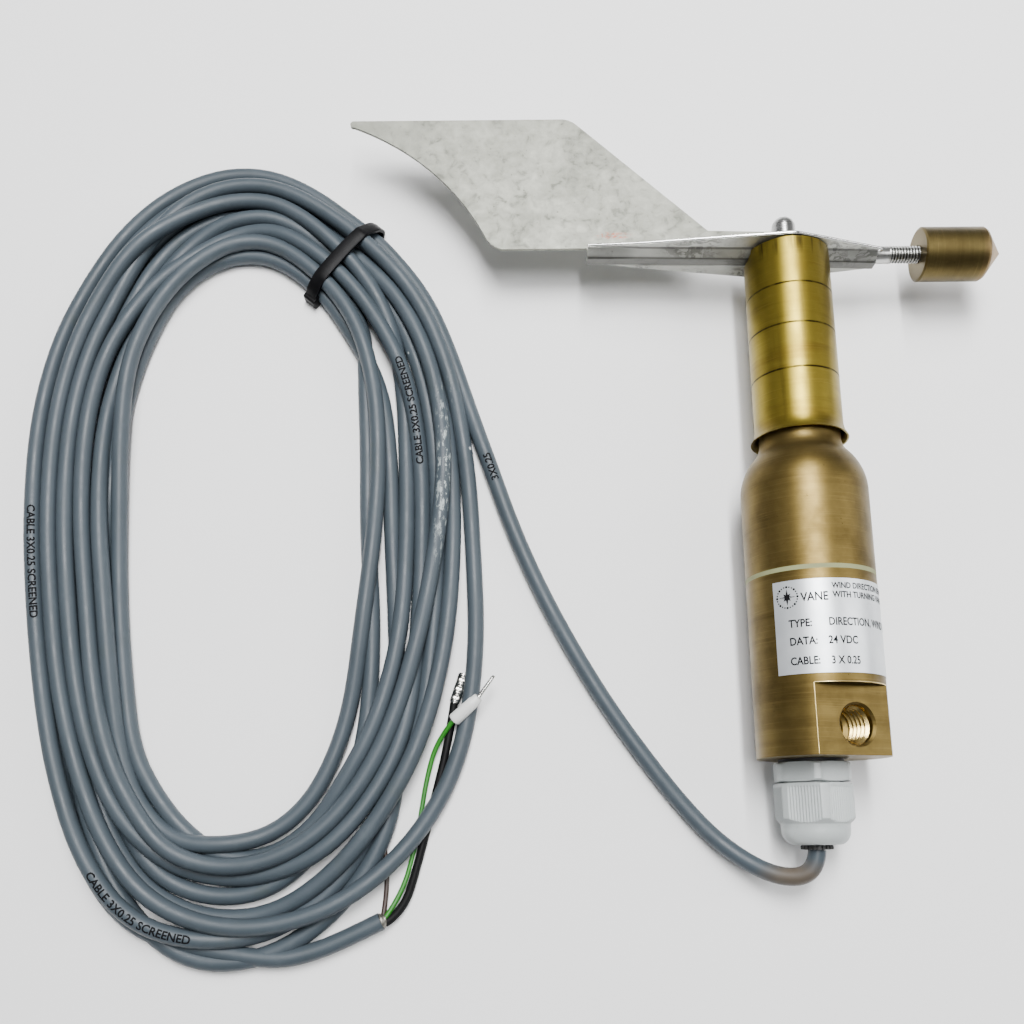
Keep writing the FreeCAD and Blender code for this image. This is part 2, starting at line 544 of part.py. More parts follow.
def main():
    write("lower_housing", lay(lower_housing()))
    write("upper_housing", lay(upper_housing()))
    write("housing_gasket", lay(ring(BODY_R, SPIGOT_R, LOWER_H, UPPER_H)))
    write("name_plate", lay(name_plate()))
    write("rotor_sleeve", lay(rotor_sleeve()))
    write("rotor_hub", lay(rotor_hub()))
    write("hub_screw", lay(hub_screw()))
    write("rotor_shaft", lay(rotor_shaft()))
    write("magnet_holder", lay(magnet_holder()))
    write("holder_screw", lay(holder_screw()))
    magnet_low = SHAFT_BOTTOM - 1 - MAGNET_T
    write("sensor_magnet", lay(cylinder(MAGNET_R - 0.01, magnet_low, magnet_low + MAGNET_T - 0.02)))

    bearing("lower_bearing", LOWER_BEARING_H)
    bearing("upper_bearing", UPPER_BEARING_H)
    spacer_low, spacer_high = LOWER_BEARING_H + BEARING_W, UPPER_BEARING_H
    write("inner_spacer", lay(ring(5.6, SHAFT_R + FIT, spacer_low, spacer_high)))
    write("outer_spacer", lay(ring(BEARING_OD / 2 - FIT, 9.6, spacer_low, spacer_high)))
    write("bearing_circlip", lay(circlip(11.5, 9.6, UPPER_BEARING_H + BEARING_W + 0.05, 1.2, 6.0)))
    write("shaft_circlip", lay(circlip(6.0, SHAFT_R - 0.45, LOWER_BEARING_H - 1.15, 1.0, 5.0)))
    write("shaft_seal", lay(ring(BEARING_OD / 2 - FIT, SHAFT_R + 0.3, 158.6, 160.6)))

    write("vane_arm", lay(vane_arm()))
    write("vane_fin", lay(vane_fin()))
    write("counterweight_rod", lay(counterweight_rod()))
    write("counterweight", lay(counterweight()))

    write("circuit_board", lay(circuit_board()))
    write("angle_sensor", lay(Part.makeBox(5, 4, 1.6, V(-2.5, -2, BOARD_H + BOARD_T))))
    write("board_components", lay(board_components()))
    write("terminal_block", lay(terminal_block()))
    write("board_standoffs", lay(standoffs()))
    write("board_screws", lay(board_screws()))

    write("gland_washer", lay(ring(10.0, GLAND_THREAD_R, -WASHER_T, 0, GLAND)))
    write("gland_body", lay(gland_body()))
    write("gland_nut", lay(gland_nut()))
    write("gland_seal", lay(gland_seal()))
    write("cable_inlet", lay(cylinder(CABLE_R, SEAL_END, INLET_END, GLAND)))
    write("inner_wires", lay(inner_wires()))

    write("cable_run", tube(RUN_ROUTE, CABLE_R, "cable_run"))
    write("cable_coil", cable_coil())
    write("cable_tail", tube(TAIL_ROUTE, CABLE_R, "cable_tail"))
    write("cable_tie", cable_tie())
    end, before = V(*TAIL_ROUTE[-1]), V(*TAIL_ROUTE[-2])
    heading = (end - before).normalize()
    write("screen_braid", Part.makeCylinder(2.0, 1.6, end, heading))
    write("green_core", tube(GREEN_ROUTE, CORE_R, "green_core"))
    write("white_core", tube(WHITE_ROUTE, CORE_R, "white_core"))
    write("brown_core", tube(BROWN_ROUTE, CORE_R, "brown_core"))
    write("screen_sleeve", tube(SCREEN_ROUTE, SLEEVED_R, "screen_sleeve"))
    write("green_ferrule", rod(GREEN_ROUTE[-1], FERRULE_TIP, 2.1))
    write("ferrule_pin", rod(FERRULE_TIP, PIN_TIP, 0.6))
    write("screen_ferrule", rod(SCREEN_ROUTE[-1], CRIMP_TIP, 1.75))


main()
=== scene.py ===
"""Looks for the wind vane transmitter: the lead, the fine shapes and the materials.

Lengths in the lists are millimetres in the frame of the part; point() turns them to metres.
"""
import bmesh
import bpy
import json
import math
import random
import numpy as np
from mathutils import Matrix, Vector


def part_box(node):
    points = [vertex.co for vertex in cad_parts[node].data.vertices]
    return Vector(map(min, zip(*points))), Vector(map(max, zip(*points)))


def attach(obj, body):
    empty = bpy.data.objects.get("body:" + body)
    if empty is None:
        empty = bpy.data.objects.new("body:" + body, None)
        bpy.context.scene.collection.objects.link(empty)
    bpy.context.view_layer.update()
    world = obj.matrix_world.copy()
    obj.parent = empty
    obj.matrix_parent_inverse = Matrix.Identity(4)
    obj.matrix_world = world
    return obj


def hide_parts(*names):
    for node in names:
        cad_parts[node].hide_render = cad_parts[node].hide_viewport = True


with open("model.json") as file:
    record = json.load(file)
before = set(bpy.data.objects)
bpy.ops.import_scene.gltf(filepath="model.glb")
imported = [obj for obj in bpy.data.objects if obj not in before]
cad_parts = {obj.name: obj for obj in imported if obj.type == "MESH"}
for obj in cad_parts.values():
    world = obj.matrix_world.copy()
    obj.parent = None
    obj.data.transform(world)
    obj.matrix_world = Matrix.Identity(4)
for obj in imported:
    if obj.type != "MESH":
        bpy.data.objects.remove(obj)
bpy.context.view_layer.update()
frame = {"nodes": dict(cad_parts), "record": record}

MM = 0.001


def middle(node):
    low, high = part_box(node)
    return (Vector(low) + Vector(high)) / 2 / MM


def low(node):
    return Vector(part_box(node)[0]) / MM


def high(node):
    return Vector(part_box(node)[1]) / MM


AXIS_X = middle("rotor_shaft").x
AXIS_Z = middle("rotor_shaft").z
BASE_Y = low("lower_housing").y
BODY_R = (high("lower_housing").x - low("lower_housing").x) / 2
ROD_H = middle("counterweight_rod").y - BASE_Y
GLAND_X, GLAND_Z = middle("gland_seal").x, middle("gland_seal").z
CABLE_R = 2.75


def point(x, y, z):
    return Vector((x, y, z)) * MM


def upright(x, y, h):
    """A point of the standing instrument, laid down as the part lies."""
    return point(AXIS_X + x, BASE_Y + h, AXIS_Z - y)


def put(name, data):
    """Adds an object to the scene."""
    thing = bpy.data.objects.new(name, data)
    bpy.context.scene.collection.objects.link(thing)
    return thing


def evaluated_mesh(thing):
    bpy.context.view_layer.update()
    return bpy.data.meshes.new_from_object(thing.evaluated_get(bpy.context.evaluated_depsgraph_get()))


# Camera
def camera():
    data = bpy.data.cameras.new("camera")
    data.sensor_width = 36.0
    data.lens = 35.61
    data.shift_y = 0.082
    data.clip_end = 10.0
    eye = put("camera", data)
    turn = Matrix.Rotation(math.radians(-0.18), 4, "Z") @ Matrix.Rotation(math.radians(12.70), 4, "X")
    turn = turn @ Matrix.Rotation(math.radians(-0.37), 4, "Z")
    eye.matrix_world = Matrix.Translation(point(AXIS_X - 95.1, BASE_Y - 18.8, 333.5)) @ turn
    bpy.context.scene.camera = eye


camera()

# Cable
# From the gland to the coil, and from the coil to the cut end.
RUN = [(36.29, -125.9, 14.12), (35.8, -130.4, 13.9), (31.7, -134.2, 12.6), (24.1, -133.8, 9.7),
       (15.3, -129.2, 6.5), (6.0, -121.7, 4.0), (-3.5, -110.9, 2.85), (-13.8, -97.3, 2.85),
       (-25.0, -81.1, 2.85), (-36.1, -62.3, 2.85), (-46.8, -41.4, 2.85), (-55.9, -19.7, 2.85),
       (-63.0, 1.6, 2.85), (-69.2, 19.5, 2.95)]
TAIL = [(-131.0, -158.0, 3.4), (-120.0, -156.0, 3.1), (-109.0, -151.8, 2.95), (-98.0, -146.6, 2.95)]

# Outer and inner edge of the coil, round from the tie over the top, to the left and back.
EDGES = [((-105, 93.5), (-124.5, 67.5)), ((-131.7, 115), (-138.9, 79.4)), ((-153.7, 121.6), (-151.6, 79)),
         ((-175.2, 115.8), (-162.3, 72.5)), ((-192.4, 102.5), (-170.6, 64)), ((-205.5, 82), (-177.5, 53.5)),
         ((-214.5, 61), (-182.3, 41)), ((-220.3, 37), (-185.6, 28)), ((-221.5, 7), (-186.5, 4)),
         ((-219.5, -25), (-185.3, -23)), ((-215, -55), (-183.2, -50)), ((-210.5, -80), (-180.6, -74)),
         ((-205, -104), (-177, -93)), ((-195.3, -130.4), (-169.1, -103.5)), ((-181, -151), (-159.5, -111.5)),
         ((-160.5, -162), (-148.5, -116.5)), ((-136.9, -163.8), (-137, -117.4)),
         ((-112.5, -155.5), (-126.5, -111.5)), ((-91, -136), (-119, -101)), ((-75.5, -113), (-114.5, -86)),
         ((-66.5, -84), (-112.2, -66)), ((-64.5, -50), (-110.5, -38)), ((-66, -18), (-109.8, -10)),
         ((-68.5, 12), (-110, 14)), ((-74.5, 44), (-112.5, 34)), ((-86, 71), (-117.5, 52))]

# How far across the coil each turn lies, from its outer edge (0) to its inner edge (1): at the
# tie, the top, the left, the lower left, the bottom, the lower right and the right. The last
# number is its place in the pile, from the floor up.
TURNS = [(.04, .05, .04, .05, .20, .45, .32, 3), (.45, .62, .76, .82, .95, .92, .88, 6),
         (.80, .82, .95, .95, .80, .72, .60, 4), (.30, .41, .21, .27, .36, .03, .05, 10),
         (.12, .22, .40, .52, .66, .62, .44, 8), (.62, .66, .57, .70, .79, .74, .17, 9),
         (.22, .30, .30, .14, .10, .36, .74, 1), (.95, .96, .86, .60, .50, .86, .98, 2),
         (.72, .50, .50, .40, .28, .52, .08, 5), (.14, .14, .12, .10, .03, .30, .30, 0)]
KEYS = (0.0, 0.095, 0.31, 0.50, 0.62, 0.71, 0.87)
STEPS = 72               # cross-sections round the coil
LAST_STEP = 42           # the last turn leaves the coil here
FIRST_STEP = 67          # the lead joins the coil here, under the tie's turn
LEAD_RANK = 7.0          # the lead's place in the pile
WANDER = 0.06            # share of the coil's width that a turn strays, away from the tie
SETTLING = 420           # rounds of sinking and pushing
LAYER = 1.1              # height that each place in the pile starts above the one below
SINK, PULL, SHOVE = 0.12, 0.06, 0.42    # in a round: mm down, share of the way home, share of an overlap


def around(values, places, where):
    """Smooth closed curve (Catmull-Rom) through values at places in 0..1, read at where."""
    values = np.asarray(values, float)
    places = np.asarray(places, float)
    out = []
    for s in where:
        s = s % 1.0
        i = int(np.searchsorted(places, s, side="right")) - 1
        n = len(places)
        a, b, c, d = (values[(i + k) % n] for k in (-1, 0, 1, 2))
        start = places[i]
        end = places[i + 1] if i + 1 < n else 1.0 + places[0]
        t = (s - start) / (end - start)
        out.append(0.5 * ((2 * b) + (c - a) * t + (2 * a - 5 * b + 4 * c - d) * t ** 2
                          + (3 * b - a - 3 * c + d) * t ** 3))
    return np.array(out)


def wanted_places(where, width):
    """How far from the coil's outer edge each turn wants to lie, at each section."""
    turns = len(TURNS)
    wanted = np.zeros((turns + 1, STEPS))
    for j, turn in enumerate(TURNS):
        following = TURNS[(j + 1) % turns][0]
        wanted[j] = np.interp(where, KEYS + (1.0,), turn[:7] + (following,))
    wanted[turns] = TURNS[0][0]
    rng = random.Random(4)
    free = np.clip(np.minimum(where, 1 - where) / 0.10, 0.0, 1.0)   # the tie holds the turns still
    for j in range(turns):
        for waves in (2, 3, 5):
            size = free * rng.uniform(0.3, 1.0) * WANDER
            wanted[j] += size * np.sin(math.tau * (waves * where + rng.random()))
    wanted = np.clip(wanted, 0.0, 1.0)
    kernel = np.hanning(11) / np.hanning(11).sum()
    line = np.pad(wanted[:turns].reshape(-1), 5, mode="edge")
    wanted[:turns] = np.convolve(line, kernel, mode="valid").reshape(turns, STEPS)
    return CABLE_R + wanted * (width - 2 * CABLE_R)


def push_apart(across, up, live, rank):
    """Moves each two turns that overlap away from each other, the higher rank upward."""
    for a in range(len(across)):
        for b in range(a + 1, len(across)):
            both = live[a] & live[b]
            du, dz = across[a] - across[b], up[a] - up[b]
            dz = np.where(np.abs(dz) < 0.2, 0.2 * np.sign(rank[a] - rank[b]), dz)
            gap = np.sqrt(du ** 2 + dz ** 2) + 1e-6
            push = np.where(both & (gap < 2 * CABLE_R), (2 * CABLE_R - gap) / gap * SHOVE, 0.0)
            across[a] += du * push
            across[b] -= du * push
            up[a] += dz * push
            up[b] -= dz * push


def ease(grid):
    """Smooths the turns along their length, and the lead into the first of them."""
    turns = len(TURNS)
    line = grid[:turns].reshape(-1)
    smooth = line.copy()
    smooth[1:-1] = 0.5 * line[1:-1] + 0.25 * (line[:-2] + line[2:])
    grid[:turns] = smooth.reshape(turns, STEPS)
    lead = grid[turns, FIRST_STEP:]
    lead[1:-1] = 0.5 * lead[1:-1] + 0.25 * (lead[:-2] + lead[2:])
    lead[-1] = 0.5 * (lead[-2] + grid[0, 0])
    grid[0, 0] = 0.5 * grid[0, 0] + 0.25 * (lead[-1] + grid[0, 1])


def settle(wanted, width):
    """Lets the turns sink on the floor and on each other: places across the coil, and heights."""
    turns = len(TURNS)
    live = np.ones((turns + 1, STEPS), bool)
    live[turns - 1, LAST_STEP + 1:] = False
    live[turns, :FIRST_STEP] = False
    rank = np.array([turn[7] for turn in TURNS] + [LEAD_RANK])[:, None]
    across, up = wanted.copy(), CABLE_R + LAYER * rank * np.ones((1, STEPS))
    for _ in range(SETTLING):
        up = np.maximum(up - SINK, CABLE_R)
        across += PULL * (wanted - across)
        push_apart(across, up, live, rank)
        ease(across)
        ease(up)
        up = np.maximum(up, CABLE_R)
        across = np.clip(across, CABLE_R * 0.9, width - CABLE_R * 0.9)
    return across, up


def lay_turns():
    """Places of the turns, and of the lead that joins them, at each section of the coil."""
    even = np.arange(len(EDGES)) / len(EDGES)
    where = np.arange(STEPS) / STEPS
    outer = around([edge[0] for edge in EDGES], even, where)
    inner = around([edge[1] for edge in EDGES], even, where)
    width = np.linalg.norm(inner - outer, axis=1)
    across, up = settle(wanted_places(where, width), width)
    side = (inner - outer) / width[:, None]
    flat_place = outer[None] + across[..., None] * side[None]
    return np.concatenate([flat_place, up[..., None]], axis=2)


def coil_points():
    """The turns as one line of points, every third section, lead first and tail last."""
    laid = lay_turns()
    turns = len(TURNS)
    line = list(laid[turns, FIRST_STEP::2])
    order = [(j, k) for j in range(turns) for k in range(0, STEPS, 3)]
    line += [laid[j, k] for j, k in order if not (j == turns - 1 and k > LAST_STEP)]
    return [tuple(p) for p in line]


def spline_object(name, points, radius, resolution=6, sides=5):
    curve = bpy.data.curves.new(name, "CURVE")
    curve.dimensions = "3D"
    spline = curve.splines.new("NURBS")
    spline.points.add(len(points) - 1)
    for slot, place in zip(spline.points, points):
        slot.co = (*point(*place), 1.0)
    spline.order_u = 3
    spline.use_endpoint_u = True
    curve.resolution_u = resolution
    curve.bevel_depth = radius * MM
    curve.bevel_resolution = sides
    curve.use_fill_caps = True
    return put(name, curve)


def centre_line(thing):
    """Points along a cord's own spline, evenly close, in millimetres."""
    bare = thing.data.copy()
    bare.bevel_depth = 0.0
    probe = put("probe", bare)
    mesh = evaluated_mesh(probe)
    line = np.array([v.co[:] for v in mesh.vertices]) / MM
    bpy.data.objects.remove(probe)
    bpy.data.curves.remove(bare)
    bpy.data.meshes.remove(mesh)
    return line


def line_length(line):
    return float(np.linalg.norm(np.diff(line, axis=0), axis=1).sum())


cable = spline_object("cable", RUN + coil_points() + TAIL, CABLE_R)
cable_line = centre_line(cable)


# Materials
class Surface:
    """A node material put together layer by layer, in the part's own coordinates."""

    def __init__(self, name, colour, roughness, metallic=0.0, **sockets):
        self.material = bpy.data.materials.new(name)
        self.material.use_nodes = True
        self.nodes = self.material.node_tree.nodes
        self.links = self.material.node_tree.links
        self.shader = self.nodes["Principled BSDF"]
        self.colour = (*colour, 1.0)
        sockets.update(Base_Color=self.colour, Roughness=roughness, Metallic=metallic)
        for socket, value in sockets.items():
            self.shader.inputs[socket.replace("_", " ")].default_value = value
        self.place = self.nodes.new("ShaderNodeTexCoord").outputs["Object"]
        self.roughness = roughness
        self.height = None

    def feed(self, socket, value):
        if hasattr(value, "is_linked"):
            self.links.new(value, socket)
        else:
            socket.default_value = value

    def node(self, kind, vector=None, **values):
        """A new node, its vector fed and its other inputs set by name."""
        node = self.nodes.new("ShaderNode" + kind)
        if vector is not None:
            self.links.new(vector, node.inputs["Vector"])
        for name, value in values.items():
            node.inputs[name.replace("_", " ")].default_value = value
        return node

    def stretched(self, scale):
        return self.node("Mapping", self.place, Scale=scale).outputs["Vector"]

    def noise(self, scale, detail=3.0, rough=0.5, along=None, distort=0.0):
        node = self.node("TexNoise", along or self.place, Scale=scale, Detail=detail, Roughness=rough,
                         Distortion=distort)
        return node.outputs["Fac"]

    def specks(self, scale):
        return self.node("TexVoronoi", self.place, Scale=scale).outputs["Distance"]

    def between(self, factor, start, end, low_value=0.0, high_value=1.0):
        node = self.node("MapRange", From_Min=start, From_Max=end, To_Min=low_value, To_Max=high_value)
        self.links.new(factor, node.inputs["Value"])
        return node.outputs["Result"]

    def math(self, operation, a, b):
        node = self.nodes.new("ShaderNodeMath")
        node.operation = operation
        self.feed(node.inputs[0], a)
        self.feed(node.inputs[1], b)
        return node.outputs["Value"]

    def times(self, a, b):
        return self.math("MULTIPLY", a, b)

    def near(self, centre, reach):
        """1 at a place of the object, falling to 0 at reach (an ellipsoid), in metres."""
        scale, shift = [1 / r for r in reach], [-c / r for c, r in zip(centre, reach)]
        node = self.node("Mapping", self.place, Scale=scale, Location=shift)
        length = self.nodes.new("ShaderNodeVectorMath")
        length.operation = "LENGTH"
        self.links.new(node.outputs["Vector"], length.inputs[0])
        return self.between(length.outputs["Value"], 1.0, 0.4)

    def band(self, axis, place, half):
        """1 within half (metres) of a plane across one axis of the object."""
        split = self.node("SeparateXYZ", self.place)
        off = self.math("ABSOLUTE", self.math("SUBTRACT", split.outputs[axis], place), 0.0)
        return self.between(off, half, 0.5 * half)

    def tint(self, factor, colour):
        """Mixes colour over what is there, by factor."""
        node = self.nodes.new("ShaderNodeMix")
        node.data_type = "RGBA"
        self.links.new(factor, node.inputs["Factor"])
        self.feed(node.inputs[6], self.colour)
        node.inputs[7].default_value = (*colour, 1.0)
        self.colour = node.outputs[2]

    def shade(self, factor, start, end, share, colour):
        """Mixes colour in as factor goes from start to end, up to a share."""
        self.tint(self.between(factor, start, end, 0.0, share), colour)

    def rough_by(self, factor, amount):
        self.roughness = self.math("ADD", self.roughness, self.times(factor, amount))

    def raise_by(self, factor, amount):
        layer = self.times(factor, amount)
        self.height = layer if self.height is None else self.math("ADD", self.height, layer)

    def done(self, distance=0.0001):
        self.feed(self.shader.inputs["Base Color"], self.colour)
        self.feed(self.shader.inputs["Roughness"], self.roughness)
        if self.height is not None:
            bump = self.node("Bump", Distance=distance, Strength=1.0)
            self.links.new(self.height, bump.inputs["Height"])
            self.links.new(bump.outputs["Normal"], self.shader.inputs["Normal"])
        return self.material


ALONG_Y = (0.02, 1.0, 0.02)     # rings round the rotor axis
ALONG_X = (1.0, 0.02, 0.02)     # rings round the counterweight axis
UP_THE_TUBE = (1.0, 0.03, 1.0)  # streaks along the rotor axis


def turned_brass(name, colour, dark, bright, rings=ALONG_Y, roughness=0.31):
    """Dull brass with lathe rings, stained; the weight's cone is redder, and the housing's neck is painted
    paler, painted light that lifts the shade under the sleeve's lip.
    """
    s = Surface(name, colour, roughness, 1.0)
    lathe = s.noise(2600, 3, 0.65, s.stretched(rings))
    broad = s.noise(240, 2, 0.5, s.stretched(rings))
    cloud = s.noise(70, 5, 0.6)
    spots = s.noise(900, 2, 0.6)
    s.shade(cloud, 0.42, 0.72, 0.75, dark)
    s.shade(broad, 0.52, 0.72, 0.5, dark)
    s.shade(lathe, 0.54, 0.80, 0.35, bright)
    s.shade(spots, 0.72, 0.80, 0.8, tuple(c * 0.35 for c in dark))
    if rings is ALONG_X:
        cone = s.near(point(AXIS_X + 72.0, BASE_Y + ROD_H, AXIS_Z), (0.009, 0.02, 0.02))
        s.tint(s.times(cone, 0.8), (0.36, 0.235, 0.115))
    else:
        # painted light: brightens the housing's neck, which lies in shade under the sleeve's lip
        neck_painted_light = s.near(upright(0, 0, 99.0), (0.03, 0.008, 0.03))
        s.tint(s.times(neck_painted_light, 0.7), (0.235, 0.170, 0.060))
    s.rough_by(s.between(cloud, 0.3, 0.8), 0.16)
    s.rough_by(lathe, 0.10)
    s.raise_by(lathe, 1.0)
    s.raise_by(cloud, 0.6)
    return s.done(0.00003)


def sleeve_brass():
    """Yellower brass: lathe rings, streaks up the tube, a stained rim and dark scribed lines."""
    s = Surface("sleeve_brass", (0.262, 0.200, 0.030), 0.25, 1.0)
    lathe = s.noise(3000, 3, 0.7, s.stretched(ALONG_Y))
    bands = s.noise(170, 3, 0.6, s.stretched((0.12, 1.0, 0.12)))
    drag = s.noise(420, 4, 0.6, s.stretched(UP_THE_TUBE))
    cloud = s.noise(85, 5, 0.62)
    s.shade(cloud, 0.40, 0.75, 0.7, (0.165, 0.115, 0.015))
    s.shade(bands, 0.52, 0.70, 0.65, (0.135, 0.085, 0.014))
    s.shade(drag, 0.60, 0.78, 0.45, (0.110, 0.078, 0.016))
    s.shade(lathe, 0.58, 0.78, 0.4, (0.44, 0.34, 0.07))
    rim = upright(0, 0, 168.0)
    s.tint(s.times(s.near(rim, (0.03, 0.006, 0.03)), s.between(drag, 0.5, 0.62)), (0.05, 0.035, 0.01))
    for scribed in (123.2, 138.8, 153.1):
        line = s.band("Y", (BASE_Y + scribed) * MM, 0.00042)
        s.tint(s.times(line, s.between(s.noise(300, 3), 0.3, 0.55, 0.35, 1.0)), (0.035, 0.025, 0.006))
    s.rough_by(cloud, 0.22)
    s.raise_by(lathe, 0.8)
    s.raise_by(drag, 0.5)
    return s.done(0.00003)


def zinc(name, colour, dark, roughness, grain=(1.0, 1.0, 1.0)):
    """Cloudy galvanised sheet, still open for more layers."""
    s = Surface(name, colour, roughness, 0.85)
    cloud = s.noise(55, 6, 0.65)
    patch = s.noise(260, 4, 0.65, distort=0.6)
    fine = s.noise(1500, 3, 0.7, s.stretched(grain))
    dots = s.specks(240)
    s.shade(cloud, 0.40, 0.74, 0.6, dark)
    s.shade(patch, 0.56, 0.74, 0.55, tuple(c * 0.72 for c in dark))
    s.shade(dots, 0.10, 0.03, 0.5, tuple(c * 0.55 for c in dark))
    s.shade(fine, 0.62, 0.78, 0.45, tuple(min(1.0, c * 1.25) for c in colour))
    s.rough_by(s.between(patch, 0.3, 0.8), 0.20)
    s.rough_by(fine, 0.12)
    s.raise_by(fine, 0.8)
    s.raise_by(patch, 0.8)
    return s


def fin_zinc():
    """Dull sheet with a small red scribble just above the arm's wing."""
    s = zinc("fin_zinc", (0.275, 0.280, 0.242), (0.130, 0.134, 0.112), 0.44)
    red = s.near(upright(-58.5, 0.5, 178.6), (0.0075, 0.0017, 0.004))
    scribble = s.between(s.noise(900, 4, 0.7, s.stretched((1.0, 2.5, 1.0))), 0.50, 0.56)
    s.tint(s.times(red, scribble), (0.36, 0.10, 0.06))
    return s.done(0.00003)


def arm_zinc():
    """Bright sheet with dents and scribbled scratches; painted shade darkens two fold lines and the channel's
    foot.
    """
    s = zinc("arm_zinc", (0.46, 0.465, 0.43), (0.25, 0.253, 0.235), 0.27, (0.05, 1.0, 1.0))
    # painted shade: two dark lines along the wing's fold creases
    s.tint(s.band("Z", (AXIS_Z + 1.9) * MM, 0.0006), (0.13, 0.13, 0.12))
    s.tint(s.band("Z", (AXIS_Z + 5.6) * MM, 0.0005), (0.20, 0.20, 0.19))
    # painted shade: darkens the channel's foot, which faces away from the light
    channel_foot_shade = s.band("Z", (AXIS_Z - 0.4) * MM, 0.0034)
    s.tint(s.times(channel_foot_shade, 0.85), (0.075, 0.076, 0.070))
    scratch = s.between(s.noise(260, 5, 0.7, s.stretched((0.7, 1.0, 1.0)), 2.5), 0.495, 0.505)
    s.tint(s.times(scratch, s.between(s.noise(60, 2), 0.5, 0.6, 0.0, 0.6)), (0.07, 0.07, 0.066))
    return s.done(0.00004)


def cut_thread():
    """Threaded steel: bright crests, with painted shade in the thread's roots."""
    s = Surface("cut_thread", (0.50, 0.50, 0.48), 0.22, 1.0)
    along = s.node("SeparateXYZ", s.place).outputs["X"]
    wave = s.math("SINE", s.times(along, math.tau / MM), 0.0)
    threaded = s.between(along, (AXIS_X + 35.2) * MM, (AXIS_X + 35.6) * MM)
    # painted shade: darkens the thread's roots along the threaded stretch
    s.tint(s.times(s.between(wave, 0.0, 0.9), threaded), (0.035, 0.035, 0.033))
    s.shade(s.noise(500, 4), 0.5, 0.75, 0.6, (0.22, 0.22, 0.21))
    s.rough_by(s.noise(900, 3), 0.15)
    return s.done()


def polished(name, colour, roughness, rings=None):
    """Bare bright metal, a little cloudy."""
    s = Surface(name, colour, roughness, 1.0)
    fine = s.noise(2400, 3, 0.65, s.stretched(rings) if rings else None)
    cloud = s.noise(160, 4, 0.6)
    s.shade(cloud, 0.45, 0.75, 0.6, tuple(c * 0.55 for c in colour))
    s.rough_by(fine, 0.18)
    s.raise_by(fine, 1.0)
    return s.done(0.00002)


def moulded(name, colour, roughness, dark, grain_scale, gloss=0.5):
    """Plastic or rubber with a fine moulded grain."""
    s = Surface(name, colour, roughness, Specular_IOR_Level=gloss)
    grain = s.noise(grain_scale, 4, 0.6)
    cloud = s.noise(60, 4, 0.55)
    s.shade(cloud, 0.35, 0.75, 0.6, dark)
    s.shade(grain, 0.58, 0.80, 0.35, tuple(c * 0.7 for c in dark))
    s.rough_by(s.between(cloud, 0.3, 0.8), 0.14)
    s.raise_by(grain, 1.0)
    return s.done(0.00003)


def jacket():
    """PVC jacket: blue grey, cloudy, with rubbed spots and white scuffs on one stretch."""
    s = Surface("jacket", (0.047, 0.062, 0.075), 0.40, Specular_IOR_Level=0.4)
    cloud = s.noise(38, 4, 0.55)
    hand = s.noise(130, 5, 0.65)
    grain = s.noise(1800, 3, 0.6)
    s.shade(cloud, 0.36, 0.70, 0.7, (0.034, 0.046, 0.056))
    s.shade(hand, 0.56, 0.76, 0.45, (0.066, 0.083, 0.096))
    s.shade(s.noise(75, 3, 0.6, distort=0.8), 0.60, 0.78, 0.4, (0.039, 0.050, 0.047))
    spots = s.between(s.specks(70), 0.055, 0.035)
    lonely = s.between(s.noise(33, 2, 0.5), 0.60, 0.64)
    s.tint(s.times(spots, lonely), (0.62, 0.66, 0.66))
    ragged = s.between(s.noise(700, 5, 0.78, s.stretched((1.0, 0.30, 1.0))), 0.55, 0.60)
    top = s.near(point(-76.5, -4.0, 13.5), (0.0075, 0.060, 0.0075))
    s.tint(s.times(top, ragged), (0.50, 0.56, 0.55))
    s.rough_by(s.between(hand, 0.3, 0.8), 0.22)
    s.rough_by(s.times(top, ragged), 0.3)
    s.raise_by(grain, 0.6)
    s.raise_by(hand, 1.0)
    brown = s.near(point(30.0, -134.5, 12.5), (0.014, 0.007, 0.012))
    s.tint(s.times(brown, s.between(cloud, 0.2, 0.6, 0.35, 0.75)), (0.10, 0.070, 0.040))
    return s.done(0.00005)


def foil():
    """The label's brushed silver foil."""
    s = Surface("foil", (0.67, 0.695, 0.715), 0.32, 0.75)
    brush = s.noise(2600, 3, 0.7, s.stretched((1.0, 0.05, 1.0)))
    cloud = s.noise(90, 3, 0.5)
    s.shade(cloud, 0.4, 0.75, 0.5, (0.47, 0.50, 0.525))
    s.rough_by(cloud, 0.16)
    s.raise_by(brush, 0.6)
    s.raise_by(cloud, 1.0)
    return s.done(0.00002)


def ink():
    """Black print, worn thin in places."""
    s = Surface("ink", (0.004, 0.004, 0.005), 0.7, Specular_IOR_Level=0.1)
    wear = s.noise(1400, 4, 0.7)
    s.shade(wear, 0.64, 0.76, 0.5, (0.10, 0.105, 0.115))
    return s.done()


